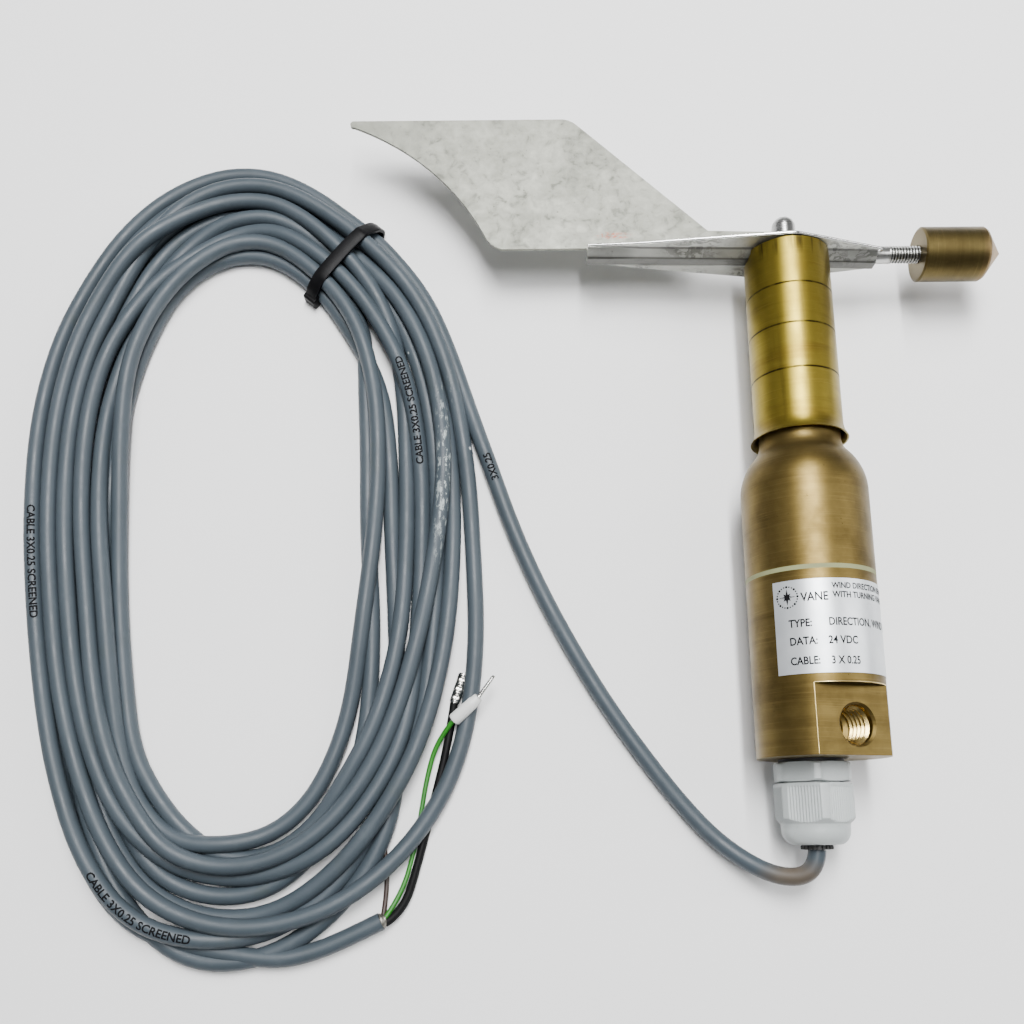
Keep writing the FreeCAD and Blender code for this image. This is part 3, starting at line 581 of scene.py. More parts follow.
LOOKS = {
    "housing": turned_brass("housing_brass", (0.150, 0.107, 0.034), (0.070, 0.047, 0.014),
                            (0.28, 0.205, 0.075)),
    "weight": turned_brass("weight_brass", (0.112, 0.085, 0.032), (0.055, 0.040, 0.014),
                           (0.24, 0.18, 0.07), ALONG_X, 0.28),
    "sleeve": sleeve_brass(),
    "fin": fin_zinc(),
    "arm": arm_zinc(),
    "rod": cut_thread(),
    "stainless": polished("stainless", (0.42, 0.42, 0.41), 0.20, ALONG_Y),
    # bright metal for the solder drops, and a painted highlight on the arm's cut edges
    "solder_and_edge_highlight": polished("solder_and_edge_highlight", (0.78, 0.78, 0.76), 0.12),
    "tinned": polished("tinned", (0.66, 0.65, 0.62), 0.14),
    "braid": polished("tinned_braid", (0.26, 0.25, 0.22), 0.35),
    "gasket": moulded("gasket", (0.25, 0.262, 0.125), 0.65, (0.15, 0.158, 0.072), 700),
    "foil": foil(),
    "ink": ink(),
    "gland": moulded("gland_grey", (0.41, 0.440, 0.435), 0.30, (0.34, 0.37, 0.37), 1300),
    "rubber": moulded("seal_rubber", (0.018, 0.018, 0.018), 0.55, (0.035, 0.034, 0.032), 1200),
    "jacket": jacket(),
    "nylon": moulded("tie_nylon", (0.002, 0.002, 0.0025), 0.40, (0.005, 0.005, 0.006), 1500, 0.12),
    "green": moulded("green_insulation", (0.020, 0.170, 0.012), 0.34, (0.014, 0.12, 0.009), 1500),
    "white": moulded("white_insulation", (0.74, 0.75, 0.73), 0.36, (0.62, 0.63, 0.61), 1500),
    "brown": moulded("brown_insulation", (0.030, 0.014, 0.009), 0.38, (0.018, 0.010, 0.007), 1500),
    "sleeving": moulded("black_sleeving", (0.003, 0.003, 0.0035), 0.5, (0.007, 0.007, 0.007), 1500, 0.15),
    "board": moulded("solder_mask", (0.012, 0.11, 0.035), 0.3, (0.01, 0.08, 0.03), 900),
    "chip": moulded("chip_black", (0.02, 0.02, 0.021), 0.5, (0.04, 0.04, 0.04), 1600),
    "terminal": moulded("terminal_green", (0.03, 0.24, 0.08), 0.4, (0.02, 0.18, 0.06), 1200),
    "bearing": polished("bearing_steel", (0.55, 0.56, 0.57), 0.12, ALONG_Y),
    "blackened": polished("blackened_steel", (0.12, 0.12, 0.125), 0.3),
    "aluminium": polished("turned_aluminium", (0.62, 0.62, 0.63), 0.28, ALONG_Y),
    "nickel": polished("nickel", (0.60, 0.59, 0.56), 0.14),
    # painted highlight: bright brass for the strips along the milled flat's edges
    "edge_highlight_brass": polished("highlight_brass", (0.78, 0.60, 0.26), 0.22),
    "thread": polished("cut_brass", (0.62, 0.46, 0.17), 0.14),
}
NODE_LOOKS = {
    "housing": ("lower_housing", "upper_housing", "magnet_holder"), "weight": ("counterweight",),
    "sleeve": ("rotor_sleeve", "rotor_hub"), "fin": ("vane_fin",), "arm": ("vane_arm",),
    "stainless": ("rotor_shaft",), "gasket": ("housing_gasket",), "foil": ("name_plate",),
    "gland": ("gland_body",), "rubber": ("gland_washer", "shaft_seal"), "jacket": ("cable_inlet",),
    "white": ("inner_wires",), "board": ("circuit_board",), "chip": ("angle_sensor", "board_components"),
    "terminal": ("terminal_block",), "nickel": ("sensor_magnet",), "rod": ("counterweight_rod",),
    "bearing": tuple(f"{end}_bearing_{piece}" for end in ("lower", "upper")
                     for piece in ("outer_ring", "inner_ring", "balls")),
    "blackened": ("bearing_circlip", "shaft_circlip", "hub_screw", "holder_screw", "board_screws"),
    "aluminium": ("inner_spacer", "outer_spacer", "board_standoffs"),
}


def dress(thing, look):
    thing.data.materials.clear()
    thing.data.materials.append(LOOKS[look])


for look, members in NODE_LOOKS.items():
    for member in members:
        dress(frame["nodes"][member], look)


# Pieces
def fit_out(thing, look, body, replaces=()):
    """Gives a piece its material, its body and the CAD nodes it stands for."""
    dress(thing, look)
    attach(thing, body)
    if replaces:
        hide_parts(*replaces)


def add(name, vertices, faces, look, body, smooth=True, replaces=()):
    """A mesh piece in metres that rides on a body."""
    mesh = bpy.data.meshes.new(name)
    mesh.from_pydata([tuple(v) for v in vertices], [], faces)
    mesh.validate()
    thing = put(name, mesh)
    if smooth:
        for face in mesh.polygons:
            face.use_smooth = True
    fit_out(thing, look, body, replaces)
    return thing


def sharpen(thing, degrees):
    """Keeps edges crisp where faces meet at more than this."""
    thing.data.set_sharp_from_angle(angle=math.radians(degrees))


def grid_faces(rows, columns, closed_rows):
    """Faces between rings of points; the last ring joins the first if the rows are closed."""
    faces = []
    for i in range(rows if closed_rows else rows - 1):
        for j in range(columns):
            a, b = i * columns + j, i * columns + (j + 1) % columns
            c, d = ((i + 1) % rows) * columns + (j + 1) % columns, ((i + 1) % rows) * columns + j
            faces.append((a, b, c, d))
    return faces


def capped_faces(rows, columns):
    """Faces of a tube of rows with both ends closed."""
    last = (rows - 1) * columns
    ends = [tuple(range(columns)), tuple(last + j for j in range(columns))[::-1]]
    return grid_faces(rows, columns, False) + ends


def turned(name, rows, around_steps, place, look, body, closed=True, replaces=()):
    """A turned piece from rows of (height, radius, or radius as a function of the angle)."""
    vertices = []
    for height, radius in rows:
        for j in range(around_steps):
            angle = math.tau * j / around_steps
            r = radius(angle) if callable(radius) else radius
            vertices.append(place(r * math.cos(angle), r * math.sin(angle), height))
    faces = grid_faces(len(rows), around_steps, True) if closed else capped_faces(len(rows), around_steps)
    return add(name, vertices, faces, look, body, replaces=replaces)


def in_gland(a, b, h):
    """A point about the gland's axis: a towards +X, b up, h along the instrument."""
    return point(GLAND_X + a, BASE_Y + h, GLAND_Z + b)


def about_rod(a, b, x):
    """A point about the counterweight's axis: x along it from the rotor axis."""
    return point(AXIS_X + x, BASE_Y + ROD_H + a, AXIS_Z + b)


RIB_PITCH, RIBBED_HALF = 0.92, 4.9      # the ribs reach this far from the middle of a flat


def hex_radius(angle, flats, turn, corner_r):
    """Radius of a hexagon with rounded corners."""
    bend = (angle - turn) % (math.pi / 3) - math.pi / 6
    return min(flats / 2 / math.cos(bend), corner_r)


def ribbed(angle, flats, turn, corner_r, depth):
    """Hexagon whose flats carry fine ribs, left plain near the corners."""
    bend = (angle - turn) % (math.pi / 3) - math.pi / 6
    across = flats / 2 * math.tan(bend)
    wave = 0.5 - 0.5 * math.cos(math.tau * across / RIB_PITCH)
    share = max(0.0, min(1.0, (RIBBED_HALF - abs(across)) / 0.3))
    return hex_radius(angle, flats, turn, corner_r) - depth * share * (1 - wave ** 0.7)


def gland():
    flats, corner, rib = 22.0, 12.1, 0.28
    nut_turn = math.radians(90.0)
    collar_turn = math.radians(98.0)

    def nut_at(chamfer_r, depth):
        return lambda angle: min(ribbed(angle, flats, nut_turn, corner, depth), chamfer_r)

    rows = [(-7.35, nut_at(11.5, 0.0)), (-7.65, nut_at(12.0, 0.0)), (-8.3, nut_at(12.5, 0.0))]
    rows += [(-8.7 - 0.5 * i, nut_at(12.5, rib)) for i in range(18)]
    rows += [(-17.6 - 0.35 * i, nut_at(12.4 - 0.36 * i, rib)) for i in range(5)]
    rows += [(-19.35, 10.55), (-19.7, 10.4), (-21.2, 10.35)]
    dome = [(-21.2 - 4.55 * math.sin(t), 6.9 + 3.45 * math.cos(t)) for t in (0.15 * k for k in range(1, 11))]
    rows += dome + [(-25.8, 6.2), (-25.75, 4.75), (-20.0, 4.7), (-17.9, 8.45), (-7.4, 8.5)]
    sharpen(turned("gland_nut_ribbed", rows, 720, in_gland, "gland", "housing",
                   replaces=("gland_nut",)), 28)

    def collar_at(scale_r):
        return lambda angle: min(hex_radius(angle, flats, collar_turn, corner), scale_r)

    rows = [(h, collar_at(r)) for h, r in ((-1.02, 11.3), (-1.25, 11.8), (-1.7, 12.4), (-6.2, 12.4),
                                           (-6.65, 11.8), (-6.9, 11.3))]
    rows += [(-6.9, 8.4), (-18.0, 8.38), (-18.0, 4.7), (9.5, 4.7), (9.5, 7.9), (-1.02, 7.95)]
    sharpen(turned("gland_collar", rows, 360, in_gland, "gland", "housing",
                   replaces=("gland_body",)), 28)

    def teeth(angle):
        return 4.45 + 0.45 * (math.cos(22 * angle) > -0.2)

    bore = CABLE_R + 0.02
    rows = [(-8.0, 4.6), (-25.2, 4.6), (-25.9, 4.55), (-26.1, teeth), (-27.1, teeth), (-27.2, 4.2),
            (-27.2, bore), (-8.0, bore)]
    sharpen(turned("gland_seal_toothed", rows, 352, in_gland, "rubber", "housing",
                   replaces=("gland_seal",)), 30)


gland()


def rod():
    """The counterweight's rod: a smooth stretch, then an M6 thread that runs into the weight."""
    start, thread_start, end, pitch = 17.0, 35.4, 57.0, 1.0
    plain_r, crest_r, depth = 2.94, 2.97, 0.55
    rows = [(start, 2.6), (start + 0.3, plain_r), (thread_start - 0.5, plain_r), (thread_start - 0.05, 2.75)]

    def thread(x):
        def radius(angle):
            phase = ((x / pitch) - angle / math.tau) % 1.0
            fade = min(1.0, (x - thread_start) / 0.8)
            return crest_r - depth * fade * abs(2 * phase - 1)
        return radius

    step = pitch / 8
    stations = [thread_start + step * i for i in range(int((end - thread_start) / step))]
    rows += [(x, thread(x)) for x in stations]
    rows += [(end, 2.3)]
    turned("rod_with_thread", rows, 64, about_rod, "rod", "rotor", closed=False,
           replaces=("counterweight_rod",))


rod()


def hole_thread():
    """The M12 thread inside the blind hole of the flat, as one ridge that winds inward."""
    mount = next(m for m in frame["record"]["mounts"] if m["name"] == "clamp_screw_hole")
    out = Vector(mount["axis"]).normalized()
    centre = Vector(mount["pos_m"])
    half = mount["dims"]["length_mm"] / 2 * MM
    side = out.orthogonal().normalized()
    other = out.cross(side)
    wall, crest, pitch, per_turn = 6.04 * MM, 5.12 * MM, 1.75 * MM, 56
    steps = int((2 * half - 0.6 * MM) / pitch * per_turn)
    profile = [(wall, -0.50), (crest, -0.10), (crest, 0.10), (wall, 0.50)]
    vertices, faces = [], []
    for i in range(steps + 1):
        angle = math.tau * i / per_turn
        ease = min(1.0, i / 14, (steps - i) / 14)
        depth = half - 0.9 * MM - pitch * i / per_turn
        around_axis = side * math.cos(angle) + other * math.sin(angle)
        for r, shift in profile:
            radius = wall + (r - wall) * ease
            vertices.append(centre + out * (depth + shift * pitch) + around_axis * radius)
    for i in range(steps):
        for j in range(4):
            a, b = 4 * i + j, 4 * i + (j + 1) % 4
            faces.append((a, a + 4, b + 4, b))
    faces += [(0, 1, 2, 3), tuple(4 * steps + j for j in (3, 2, 1, 0))]
    sharpen(add("hole_thread", vertices, faces, "thread", "housing"), 30)


def flat_edge_highlights():
    """Thin bright brass strips, a painted highlight along the milled flat's left edge and the ledge above it.
    """
    turn = math.radians(21.0)
    out, along = (math.sin(turn), -math.cos(turn)), (math.cos(turn), math.sin(turn))
    dist, top = 15.1, 21.0
    half = math.sqrt(BODY_R ** 2 - dist ** 2)

    def at(side, deep, h):
        return upright(out[0] * deep + along[0] * side, out[1] * deep + along[1] * side, h)

    runs = [[at(-half + 0.05, dist - 0.02, 0.3 + 2.07 * i) for i in range(11)]]
    ledge = []
    for i in range(25):
        side = -half + 0.1 + (2 * half - 0.2) * i / 24
        ledge.append(at(side, math.sqrt(BODY_R ** 2 - side ** 2) - 0.03, top + 0.02))
    runs.append(ledge)
    for i, run in enumerate(runs):
        curve = spline_object(f"flat_edge_{i + 1}", [tuple(p / MM) for p in run], 0.17, 2, 2)
        # painted highlight strip along the flat's edge
        fit_out(curve, "edge_highlight_brass", "housing")


hole_thread()
flat_edge_highlights()


# Lettering: generic words, bent to the surface that carries them
def letters(text, size, bold):
    """Flat outline letters as points and faces, in millimetres, standing on their base line."""
    curve = bpy.data.curves.new("letters", "FONT")
    curve.body = text
    curve.size = size
    curve.offset = bold
    curve.resolution_u = 3
    thing = put("letters", curve)
    mesh = evaluated_mesh(thing)
    fine = bmesh.new()
    fine.from_mesh(mesh)
    for _ in range(3):
        bmesh.ops.triangulate(fine, faces=fine.faces[:])
        longer = [edge for edge in fine.edges if edge.calc_length() > 0.45]
        bmesh.ops.subdivide_edges(fine, edges=longer, cuts=1)
    fine.to_mesh(mesh)
    fine.free()
    places = [(v.co.x, v.co.y) for v in mesh.vertices]
    faces = [tuple(p.vertices) for p in mesh.polygons]
    bpy.data.objects.remove(thing)
    bpy.data.meshes.remove(mesh)
    return places, faces


LABEL_R = BODY_R + 0.2
INK_R = LABEL_R + 0.03


def on_label(degrees, across, height):
    """A place on the label: degrees round the housing from the top, then millimetres across and up."""
    angle = math.radians(degrees) + across / LABEL_R
    return point(AXIS_X + INK_R * math.sin(angle), BASE_Y + height, AXIS_Z + INK_R * math.cos(angle))


def label_line(name, text, size, degrees, height, bold, squeeze):
    places, faces = letters(text, size, bold)
    vertices = [on_label(degrees, x * squeeze, height + y) for x, y in places]
    add(name, vertices, faces, "ink", "housing", smooth=False)


def compass_star(degrees, height):
    """A plain eight-pointed star in a ring of dots."""
    vertices, faces = [], []
    for k in range(8):
        reach, tip = (2.6 if k % 2 == 0 else 1.6), math.tau * k / 8
        rays = [(0.0, tip), (0.8, tip - 0.5), (reach, tip), (0.8, tip + 0.5)]
        first = len(vertices)
        vertices += [on_label(degrees, r * math.cos(a), height + r * math.sin(a)) for r, a in rays]
        faces.append((first, first + 1, first + 2, first + 3))
    for k in range(24):
        turn = math.tau * k / 24
        size = 0.36 if k % 3 == 0 else 0.24
        first = len(vertices)
        for m in range(10):
            spin = math.tau * m / 10
            x = 3.2 * math.cos(turn) + size * math.cos(spin)
            y = 3.2 * math.sin(turn) + size * math.sin(spin)
            vertices.append(on_label(degrees, x, height + y))
        faces.append(tuple(range(first, first + 10)))
    add("label_star", vertices, faces, "ink", "housing", smooth=False)


compass_star(-37.2, 46.9)
# Name, words, size, degrees of the first letter, height, boldness and width.
for line_name, *line in (
    ("title", "VANE", 3.7, -25.5, 45.3, 0.08, 0.84),
    ("head_1", "WIND DIRECTION SENSOR", 2.5, 0.6, 48.9, 0.07, 0.86),
    ("head_2", "WITH TURNING VANE", 2.6, 0.9, 46.1, 0.07, 0.86),
    ("type", "TYPE:", 3.3, -37.3, 37.6, 0.075, 0.86),
    ("type_value", "DIRECTION, WIND VANE", 3.3, -4.3, 37.7, 0.075, 0.80),
    ("data", "DATA:", 3.3, -37.5, 32.2, 0.075, 0.86),
    ("data_value", "24 VDC", 3.3, -5.6, 32.2, 0.075, 0.84),
    ("code", "CABLE:", 3.3, -37.9, 26.3, 0.075, 0.84),
    ("code_value", "3 X 0.25", 3.3, -4.4, 26.2, 0.075, 0.80),
):
    label_line(f"label_{line_name}", *line)


# Cable: finish and print
PRINT_SIZE, PRINT_BOLD = 3.5, 0.09
PRINT_SEARCH = 14.0      # how far from its place a print may start

fit_out(cable, "jacket", "housing", ("cable_run", "cable_coil", "cable_tail"))
line_steps = np.linalg.norm(np.diff(cable_line, axis=0), axis=1)
line_reach = np.concatenate([[0.0], np.cumsum(line_steps)])


def on_cable(reach):
    """Centre and heading of the cable at a length from the gland, in millimetres."""
    centre = np.array([np.interp(reach, line_reach, cable_line[:, k]) for k in range(3)])
    ahead = np.array([np.interp(reach + 1.0, line_reach, cable_line[:, k]) for k in range(3)])
    heading = ahead - centre
    return centre, heading / np.linalg.norm(heading)


def clear_start(x, y, length):
    """Length from the gland to the strand near (x, y) that stays uncovered longest from there."""
    ahead = np.linspace(0.0, length, 12)
    best, best_score = 0.0, -1.0
    for i in np.where(np.hypot(cable_line[:, 0] - x, cable_line[:, 1] - y) < PRINT_SEARCH)[0][::2]:
        places = np.array([on_cable(line_reach[i] + a)[0] for a in ahead])
        gap = np.hypot(*(cable_line[None, :, :2] - places[:, None, :2]).transpose(2, 0, 1))
        above = cable_line[None, :, 2] > places[:, None, 2] + 0.8 * CABLE_R
        covered = ((gap < 1.5 * CABLE_R) & above).any(axis=1)
        off = math.hypot(places[0, 0] - x, places[0, 1] - y)
        score = len(ahead) - covered.sum() + places[:, 2].mean() / 20 - off / 10
        if score > best_score:
            best, best_score = line_reach[i], score
    return best


def cable_print(name, text, x, y, roll=0.0):
    """Prints text along a clear strand near (x, y), turned round it by roll degrees."""
    places, faces = letters(text, PRINT_SIZE, PRINT_BOLD)
    start = clear_start(x, y, max(a for a, b in places))
    vertices = []
    for a, b in places:
        centre, heading = on_cable(start + a)
        sideways = np.cross((0.0, 0.0, 1.0), heading)
        sideways /= np.linalg.norm(sideways)
        normal = np.cross(heading, sideways)
        angle = math.radians(roll) + (b - 0.35 * PRINT_SIZE) / CABLE_R
        out = normal * math.cos(angle) + sideways * math.sin(angle)
        vertices.append(point(*(centre + out * (CABLE_R + 0.05))))
    add(name, vertices, faces, "ink", "housing", smooth=False)


cable_print("cable_print_bottom", "CABLE 3X0.25 SCREENED", -190.0, -137.0)
cable_print("cable_print_right", "CABLE 3X0.25 SCREENED", -88.0, -2.0)
cable_print("cable_print_left", "CABLE 3X0.25 SCREENED", -217.5, -12.0, roll=14.0)
cable_print("cable_print_run", "3X0.25", -62.5, 0.0)

# Far end of the lead
CORE_R, SLEEVED_R = 0.8, 1.35
GREEN = [(-97.3, -146.2, 3.2), (-91.5, -138.5, 1.9), (-87.2, -121.0, 1.0), (-84.6, -103.0, 1.0),
         (-81.0, -90.5, 2.4), (-75.6, -84.6, 5.2)]
SCREEN = [(-96.9, -147.2, 2.8), (-91.2, -144.0, 1.9), (-86.6, -128.0, 1.45), (-81.5, -108.0, 1.45),
          (-77.6, -92.0, 1.6), (-75.6, -78.6, 2.0)]
WHITE = [(-97.0, -146.7, 2.0), (-90.9, -136.0, 1.0), (-85.0, -121.0, 0.95), (-79.6, -107.0, 0.95),
         (-76.4, -93.0, 1.0)]
BROWN = [(-97.6, -145.4, 2.5), (-96.6, -138.0, 1.2), (-97.0, -127.0, 0.95), (-99.5, -114.8, 0.95)]
FERRULE_TIP, PIN_TIP, CRIMP_TIP = (-67.4, -77.4, 7.6), (-62.4, -70.6, 8.6), (-72.4, -69.0, 2.2)


def lathe_between(name, start, end, rows, look, replaces, dents=None):
    """A turned piece between two places; rows are (share of the length, radius)."""
    a, b = Vector(start), Vector(end)
    axis = (b - a).normalized()
    side = (Vector((0, 0, 1)) - axis * axis.z).normalized()
    other = axis.cross(side)
    steps = 40
    vertices = []
    for share, radius in rows:
        centre = a + axis * (share * (b - a).length)
        for j in range(steps):
            angle = math.tau * j / steps
            r = radius * (dents(share, angle) if dents else 1.0)
            vertices.append((centre + (side * math.cos(angle) + other * math.sin(angle)) * r) * MM)
    return add(name, vertices, capped_faces(len(rows), steps), look, "housing", replaces=replaces)


def core(name, route, radius, look, stands_for):
    """A core's cord along its route."""
    thing = spline_object(name, route, radius, 8, 4)
    fit_out(thing, look, "housing", (stands_for,))
    length = line_length(centre_line(thing)) * MM


def crimps(share, angle):
    """Three dents pressed into one side of the crimped ferrule."""
    dent = max(math.exp(-((share - place) / 0.085) ** 4) for place in (0.2, 0.5, 0.8))
    return 1.0 - 0.55 * dent * max(0.0, math.cos(angle)) ** 1.5


ferrule = lathe_between("green_ferrule_collar", GREEN[-1], FERRULE_TIP,
                        [(0.0, 1.7), (0.02, 2.05), (0.06, 2.2), (0.70, 2.0), (0.80, 1.95), (0.84, 1.7),
                         (0.97, 1.6), (1.0, 1.35)],
                        "white", ("green_ferrule",))
pin = lathe_between("green_ferrule_pin", FERRULE_TIP, PIN_TIP,
                    [(-0.1, 0.7), (0.1, 0.68), (0.9, 0.6), (1.0, 0.45)], "tinned", ("ferrule_pin",))
crimp_rows = [(0.0, 1.4), (0.03, 1.7)] + [(0.05 + 0.02 * i, 1.75) for i in range(46)]
crimp_rows += [(0.97, 1.72), (1.0, 1.45)]
crimp = lathe_between("screen_crimp", SCREEN[-1], CRIMP_TIP, crimp_rows, "tinned",
                      ("screen_ferrule",), crimps)
BRAID_END = Vector(TAIL[-1]) + (Vector(TAIL[-1]) - Vector(TAIL[-2])).normalized() * 1.7
braid = lathe_between("screen_braid_ring", TAIL[-1], BRAID_END,
                      [(0.0, 2.35), (0.2, 2.35), (0.6, 1.9), (1.0, 1.2)], "braid", ("screen_braid",),
                      lambda share, angle: 1.0 + 0.05 * math.cos(17 * angle + 5 * share))
core("green_core_wire", GREEN, CORE_R, "green", "green_core")
core("screen_sleeving", SCREEN, SLEEVED_R, "sleeving", "screen_sleeve")
core("white_core_wire", WHITE, CORE_R, "white", "white_core")
core("brown_core_wire", BROWN, CORE_R, "brown", "brown_core")


# Tie
TIE_OUTER, TIE_INNER = Vector((-104.0, 93.6)), Vector((-126.5, 67.4))
TIE_SPAN = (TIE_INNER - TIE_OUTER).length
TIE_MIDDLE = (TIE_OUTER + TIE_INNER) / 2
TIE_ACROSS = (TIE_INNER - TIE_OUTER).normalized()
TIE_ALONG = Vector((-TIE_ACROSS.y, TIE_ACROSS.x))
STRAP_T, STRAP_HALF = 1.1, 2.35


def about_tie(across, along, height):
    """A place across the bundle, along the cable and up, from the middle of the tie."""
    flat = TIE_MIDDLE + TIE_ACROSS * across + TIE_ALONG * along
    return point(flat.x, flat.y, height)


def strap_path():
    """The strap's inner line: over the strands, following their outline, then back under them."""
    rel = cable_line[:, :2] - np.array(TIE_MIDDLE)
    held = np.abs(rel @ np.array(TIE_ALONG)) < 2.4
    strands, heights = rel[held] @ np.array(TIE_ACROSS), cable_line[held, 2]
    steps, half = 41, TIE_SPAN / 2
    places = [-half + TIE_SPAN * i / (steps - 1) for i in range(steps)]
    tops = []
    for a in places:
        close = np.abs(strands - a) < CABLE_R
        skin = heights[close] + np.sqrt(CABLE_R ** 2 - (strands[close] - a) ** 2)
        tops.append(float(skin.max() if close.any() else 2 * CABLE_R) + 0.3)
    tops = np.array(tops)
    for _ in range(30):
        lifted = np.convolve(np.pad(tops, 2, mode="edge"), np.ones(5) / 5, mode="valid")
        tops = np.maximum(tops, lifted)
    arch = np.sqrt(1 - np.minimum(0.985, np.abs(np.linspace(-1, 1, steps)) ** 4))
    tops = 1.5 + (tops - 1.5) * (0.30 + 0.70 * arch)
    under = [(half + 0.7, 3.0), (half + 0.5, 1.6), (half - 0.4, 0.6), (half - 2.0, 0.15),
             (-half + 2.0, 0.15), (-half + 0.4, 0.6), (-half - 0.5, 1.6), (-half - 0.7, 3.0)]
    return list(zip(places, tops)) + under


def tie_strap():
    """The strap drawn round the bundle, thinner at its edges."""
    path = strap_path()
    section = [(0.0, -STRAP_HALF), (0.8 * STRAP_T, -STRAP_HALF), (STRAP_T, 0.5 - STRAP_HALF),
               (0.93 * STRAP_T, 0.0), (STRAP_T, STRAP_HALF - 0.5), (0.8 * STRAP_T, STRAP_HALF),
               (0.0, STRAP_HALF)]
    vertices = []
    for i, (a, h) in enumerate(path):
        before, after = path[i - 1], path[(i + 1) % len(path)]
        heading = Vector((after[0] - before[0], after[1] - before[1])).normalized()
        for lift, side in section:
            vertices.append(about_tie(a - heading.y * lift, side, max(0.02, h + heading.x * lift)))
    faces = grid_faces(len(path), len(section), True)
    thing = add("tie_strap", vertices, faces, "nylon", "housing", replaces=("cable_tie",))
    sharpen(thing, 50)
    return thing


def tie_head():
    """The locking head at the strap's inner end, a block with rounded edges."""
    box = [(-1.6, -2.7, 0.2), (1.9, -2.7, 0.2), (1.9, 2.7, 0.2), (-1.6, 2.7, 0.2),
           (-1.6, -2.7, 5.2), (1.9, -2.7, 4.6), (1.9, 2.7, 4.6), (-1.6, 2.7, 5.2)]
    corners = [about_tie(TIE_SPAN / 2 + 0.4 + a, b, h) for a, b, h in box]
    faces = [(0, 3, 2, 1), (4, 5, 6, 7), (0, 1, 5, 4), (1, 2, 6, 5), (2, 3, 7, 6), (3, 0, 4, 7)]
    thing = add("tie_head", corners, faces, "nylon", "housing", smooth=False)
    bevel = thing.modifiers.new("edge", "BEVEL")
    bevel.width = 0.0006
    bevel.segments = 3
    return thing


strap, head = tie_strap(), tie_head()


# Solder and brazing on the arm
def blob(name, centre, reach, seed, rough=0.10):
    """A set drop of solder on the arm: a rounded lump with an uneven skin."""
    rng = random.Random(seed)
    bumps = []
    for _ in range(6):
        bumps.append((rng.uniform(-1, 1), rng.uniform(-1, 1), rng.uniform(-1, 1), rng.uniform(2, 5)))
    rings, steps = 14, 24
    vertices = []
    for i in range(rings + 1):
        polar = math.pi * i / rings
        ring_r, up = math.sin(polar), math.cos(polar)
        for j in range(steps):
            angle = math.tau * j / steps
            d = Vector((ring_r * math.cos(angle), ring_r * math.sin(angle), up))
            swell = 1.0 + rough * sum(math.sin(f * (a * d.x + b * d.y + c * d.z)) for a, b, c, f in bumps) / 2
            vertices.append(centre + Vector((d.x * reach[0], d.y * reach[1], d.z * reach[2])) * swell * MM)
    add(name, vertices, capped_faces(rings + 1, steps), "solder_and_edge_highlight", "rotor")


blob("arm_solder", upright(-66.4, -1.6, 172.9), (1.6, 0.9, 1.3), 3)
blob("rod_brazing_top", upright(29.3, -2.2, 170.9), (2.6, 1.6, 1.5), 5, 0.2)
blob("rod_brazing_low", upright(28.6, 1.9, 169.6), (2.6, 1.4, 1.5), 8, 0.2)


def arm_edge_highlights():
    """Rounded cut edges of the arm's two wings in bright solder-coloured metal: real edges, their brightness
    a painted highlight.
    """
    stations = [(-67.8, 4.9, 172.3), (-50.0, 7.5, 171.4), (-14.0, 12.6, 170.8), (0.0, 14.6, 170.5),
                (6.0, 12.9, 170.4), (15.0, 10.4, 170.1), (29.9, 6.2, 169.6)]
    for name, side in (("arm_edge_highlight_near", -1), ("arm_edge_highlight_far", 1)):
        run = [tuple(upright(x, side * (half - 0.15), h) / MM) for x, half, h in stations]
        pairs = zip(run, run[1:])
        fine = [tuple(Vector(a).lerp(Vector(b), k / 5)) for a, b in pairs for k in range(5)]
        edge = spline_object(name, fine + [run[-1]], 0.50, 2, 3)
        # painted highlight: the edges take the bright solder metal
        fit_out(edge, "solder_and_edge_highlight", "rotor")


arm_edge_highlights()


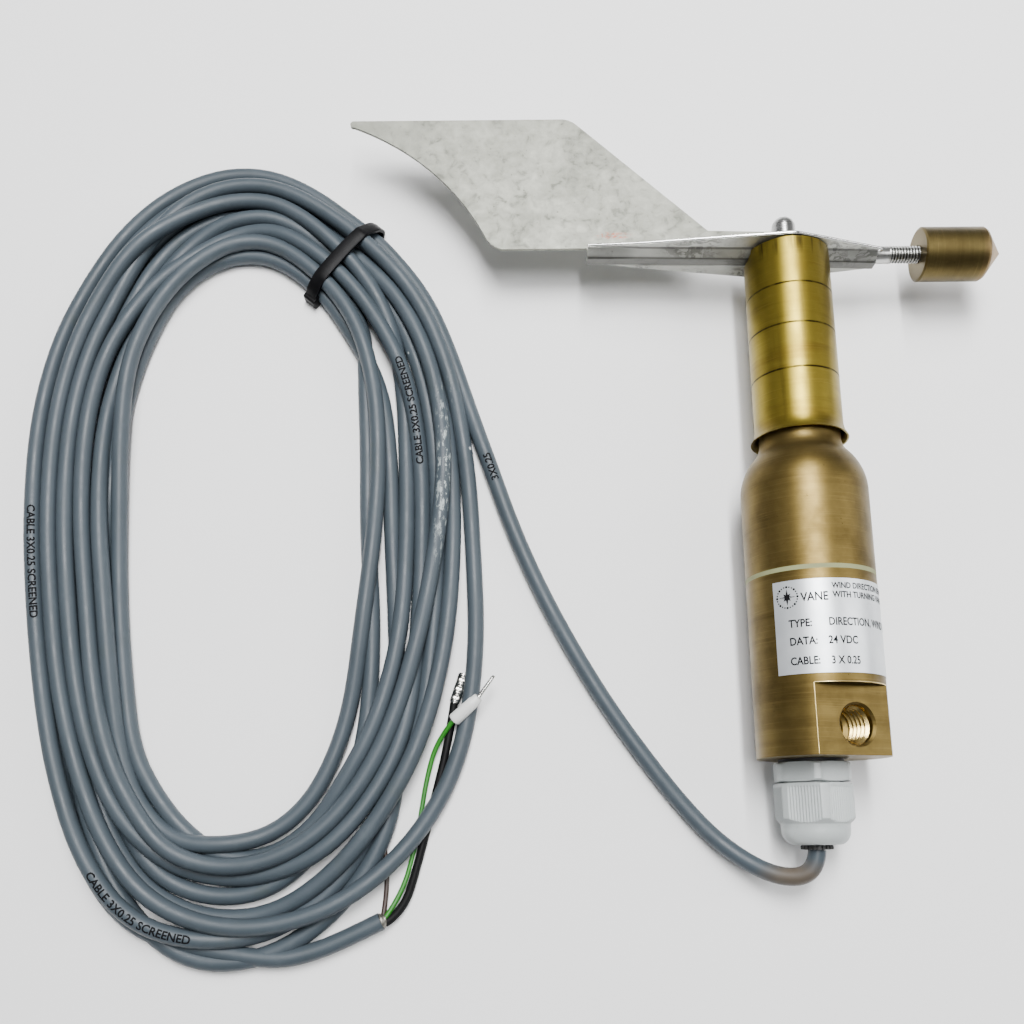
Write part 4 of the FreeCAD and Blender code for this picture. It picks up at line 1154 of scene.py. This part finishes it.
# Stage
def light(name, where, toward, size, watts):
    data = bpy.data.lights.new(name, "AREA")
    data.shape = "RECTANGLE"
    data.size, data.size_y = size
    data.energy = watts
    lamp = put(name, data)
    lamp.location = where
    lamp.rotation_euler = (Vector(toward) - Vector(where)).to_track_quat("-Z", "Y").to_euler()


def lay_floor():
    """A pale sheet of paper under the part."""
    reach = 6.0
    mesh = bpy.data.meshes.new("floor")
    corners = [(-reach, -reach, 0), (reach, -reach, 0), (reach, reach, 0), (-reach, reach, 0)]
    mesh.from_pydata(corners, [], [(0, 1, 2, 3)])
    floor = put("floor", mesh)
    paper = Surface("paper", (0.90, 0.90, 0.90), 0.9)
    paper.shade(paper.noise(30, 4), 0.4, 0.7, 0.3, (0.88, 0.88, 0.885))
    floor.data.materials.append(paper.done())


def light_up():
    """A long strip for the tubes' highlight, three soft lamps, and a sky that is dark overhead."""
    light("strip", (0.035, 0.30, 1.0), (0.035, 0.02, 0.0), (0.085, 1.1), 17)
    light("overhead", (-0.10, 0.40, 1.15), (-0.04, 0.02, 0.0), (0.45, 0.45), 14)
    light("left", (-1.0, 0.2, 0.75), (-0.05, 0.0, 0.0), (0.25, 0.4), 0.7)
    light("right", (0.8, 0.1, 0.55), (0.05, 0.0, 0.0), (0.25, 0.7), 4)
    world = bpy.data.worlds.new("world")
    bpy.context.scene.world = world
    world.use_nodes = True
    nodes, links = world.node_tree.nodes, world.node_tree.links
    place = nodes.new("ShaderNodeTexCoord")
    split = nodes.new("ShaderNodeSeparateXYZ")
    ramp = nodes.new("ShaderNodeValToRGB")
    links.new(place.outputs["Generated"], split.inputs["Vector"])
    links.new(split.outputs["Z"], ramp.inputs["Fac"])
    links.new(ramp.outputs["Color"], nodes["Background"].inputs["Color"])
    stops = ramp.color_ramp.elements
    stops[0].position, stops[0].color = 0.0, (0.35, 0.35, 0.36, 1.0)
    stops[1].position, stops[1].color = 1.0, (0.55, 0.55, 0.56, 1.0)
    for height, value in ((0.51, 0.40), (0.58, 0.06), (0.82, 0.08)):
        stop = ramp.color_ramp.elements.new(height)
        stop.color = (value, value, value * 1.02, 1.0)
    nodes["Background"].inputs["Strength"].default_value = 0.9


lay_floor()
light_up()

bpy.context.view_layer.update()
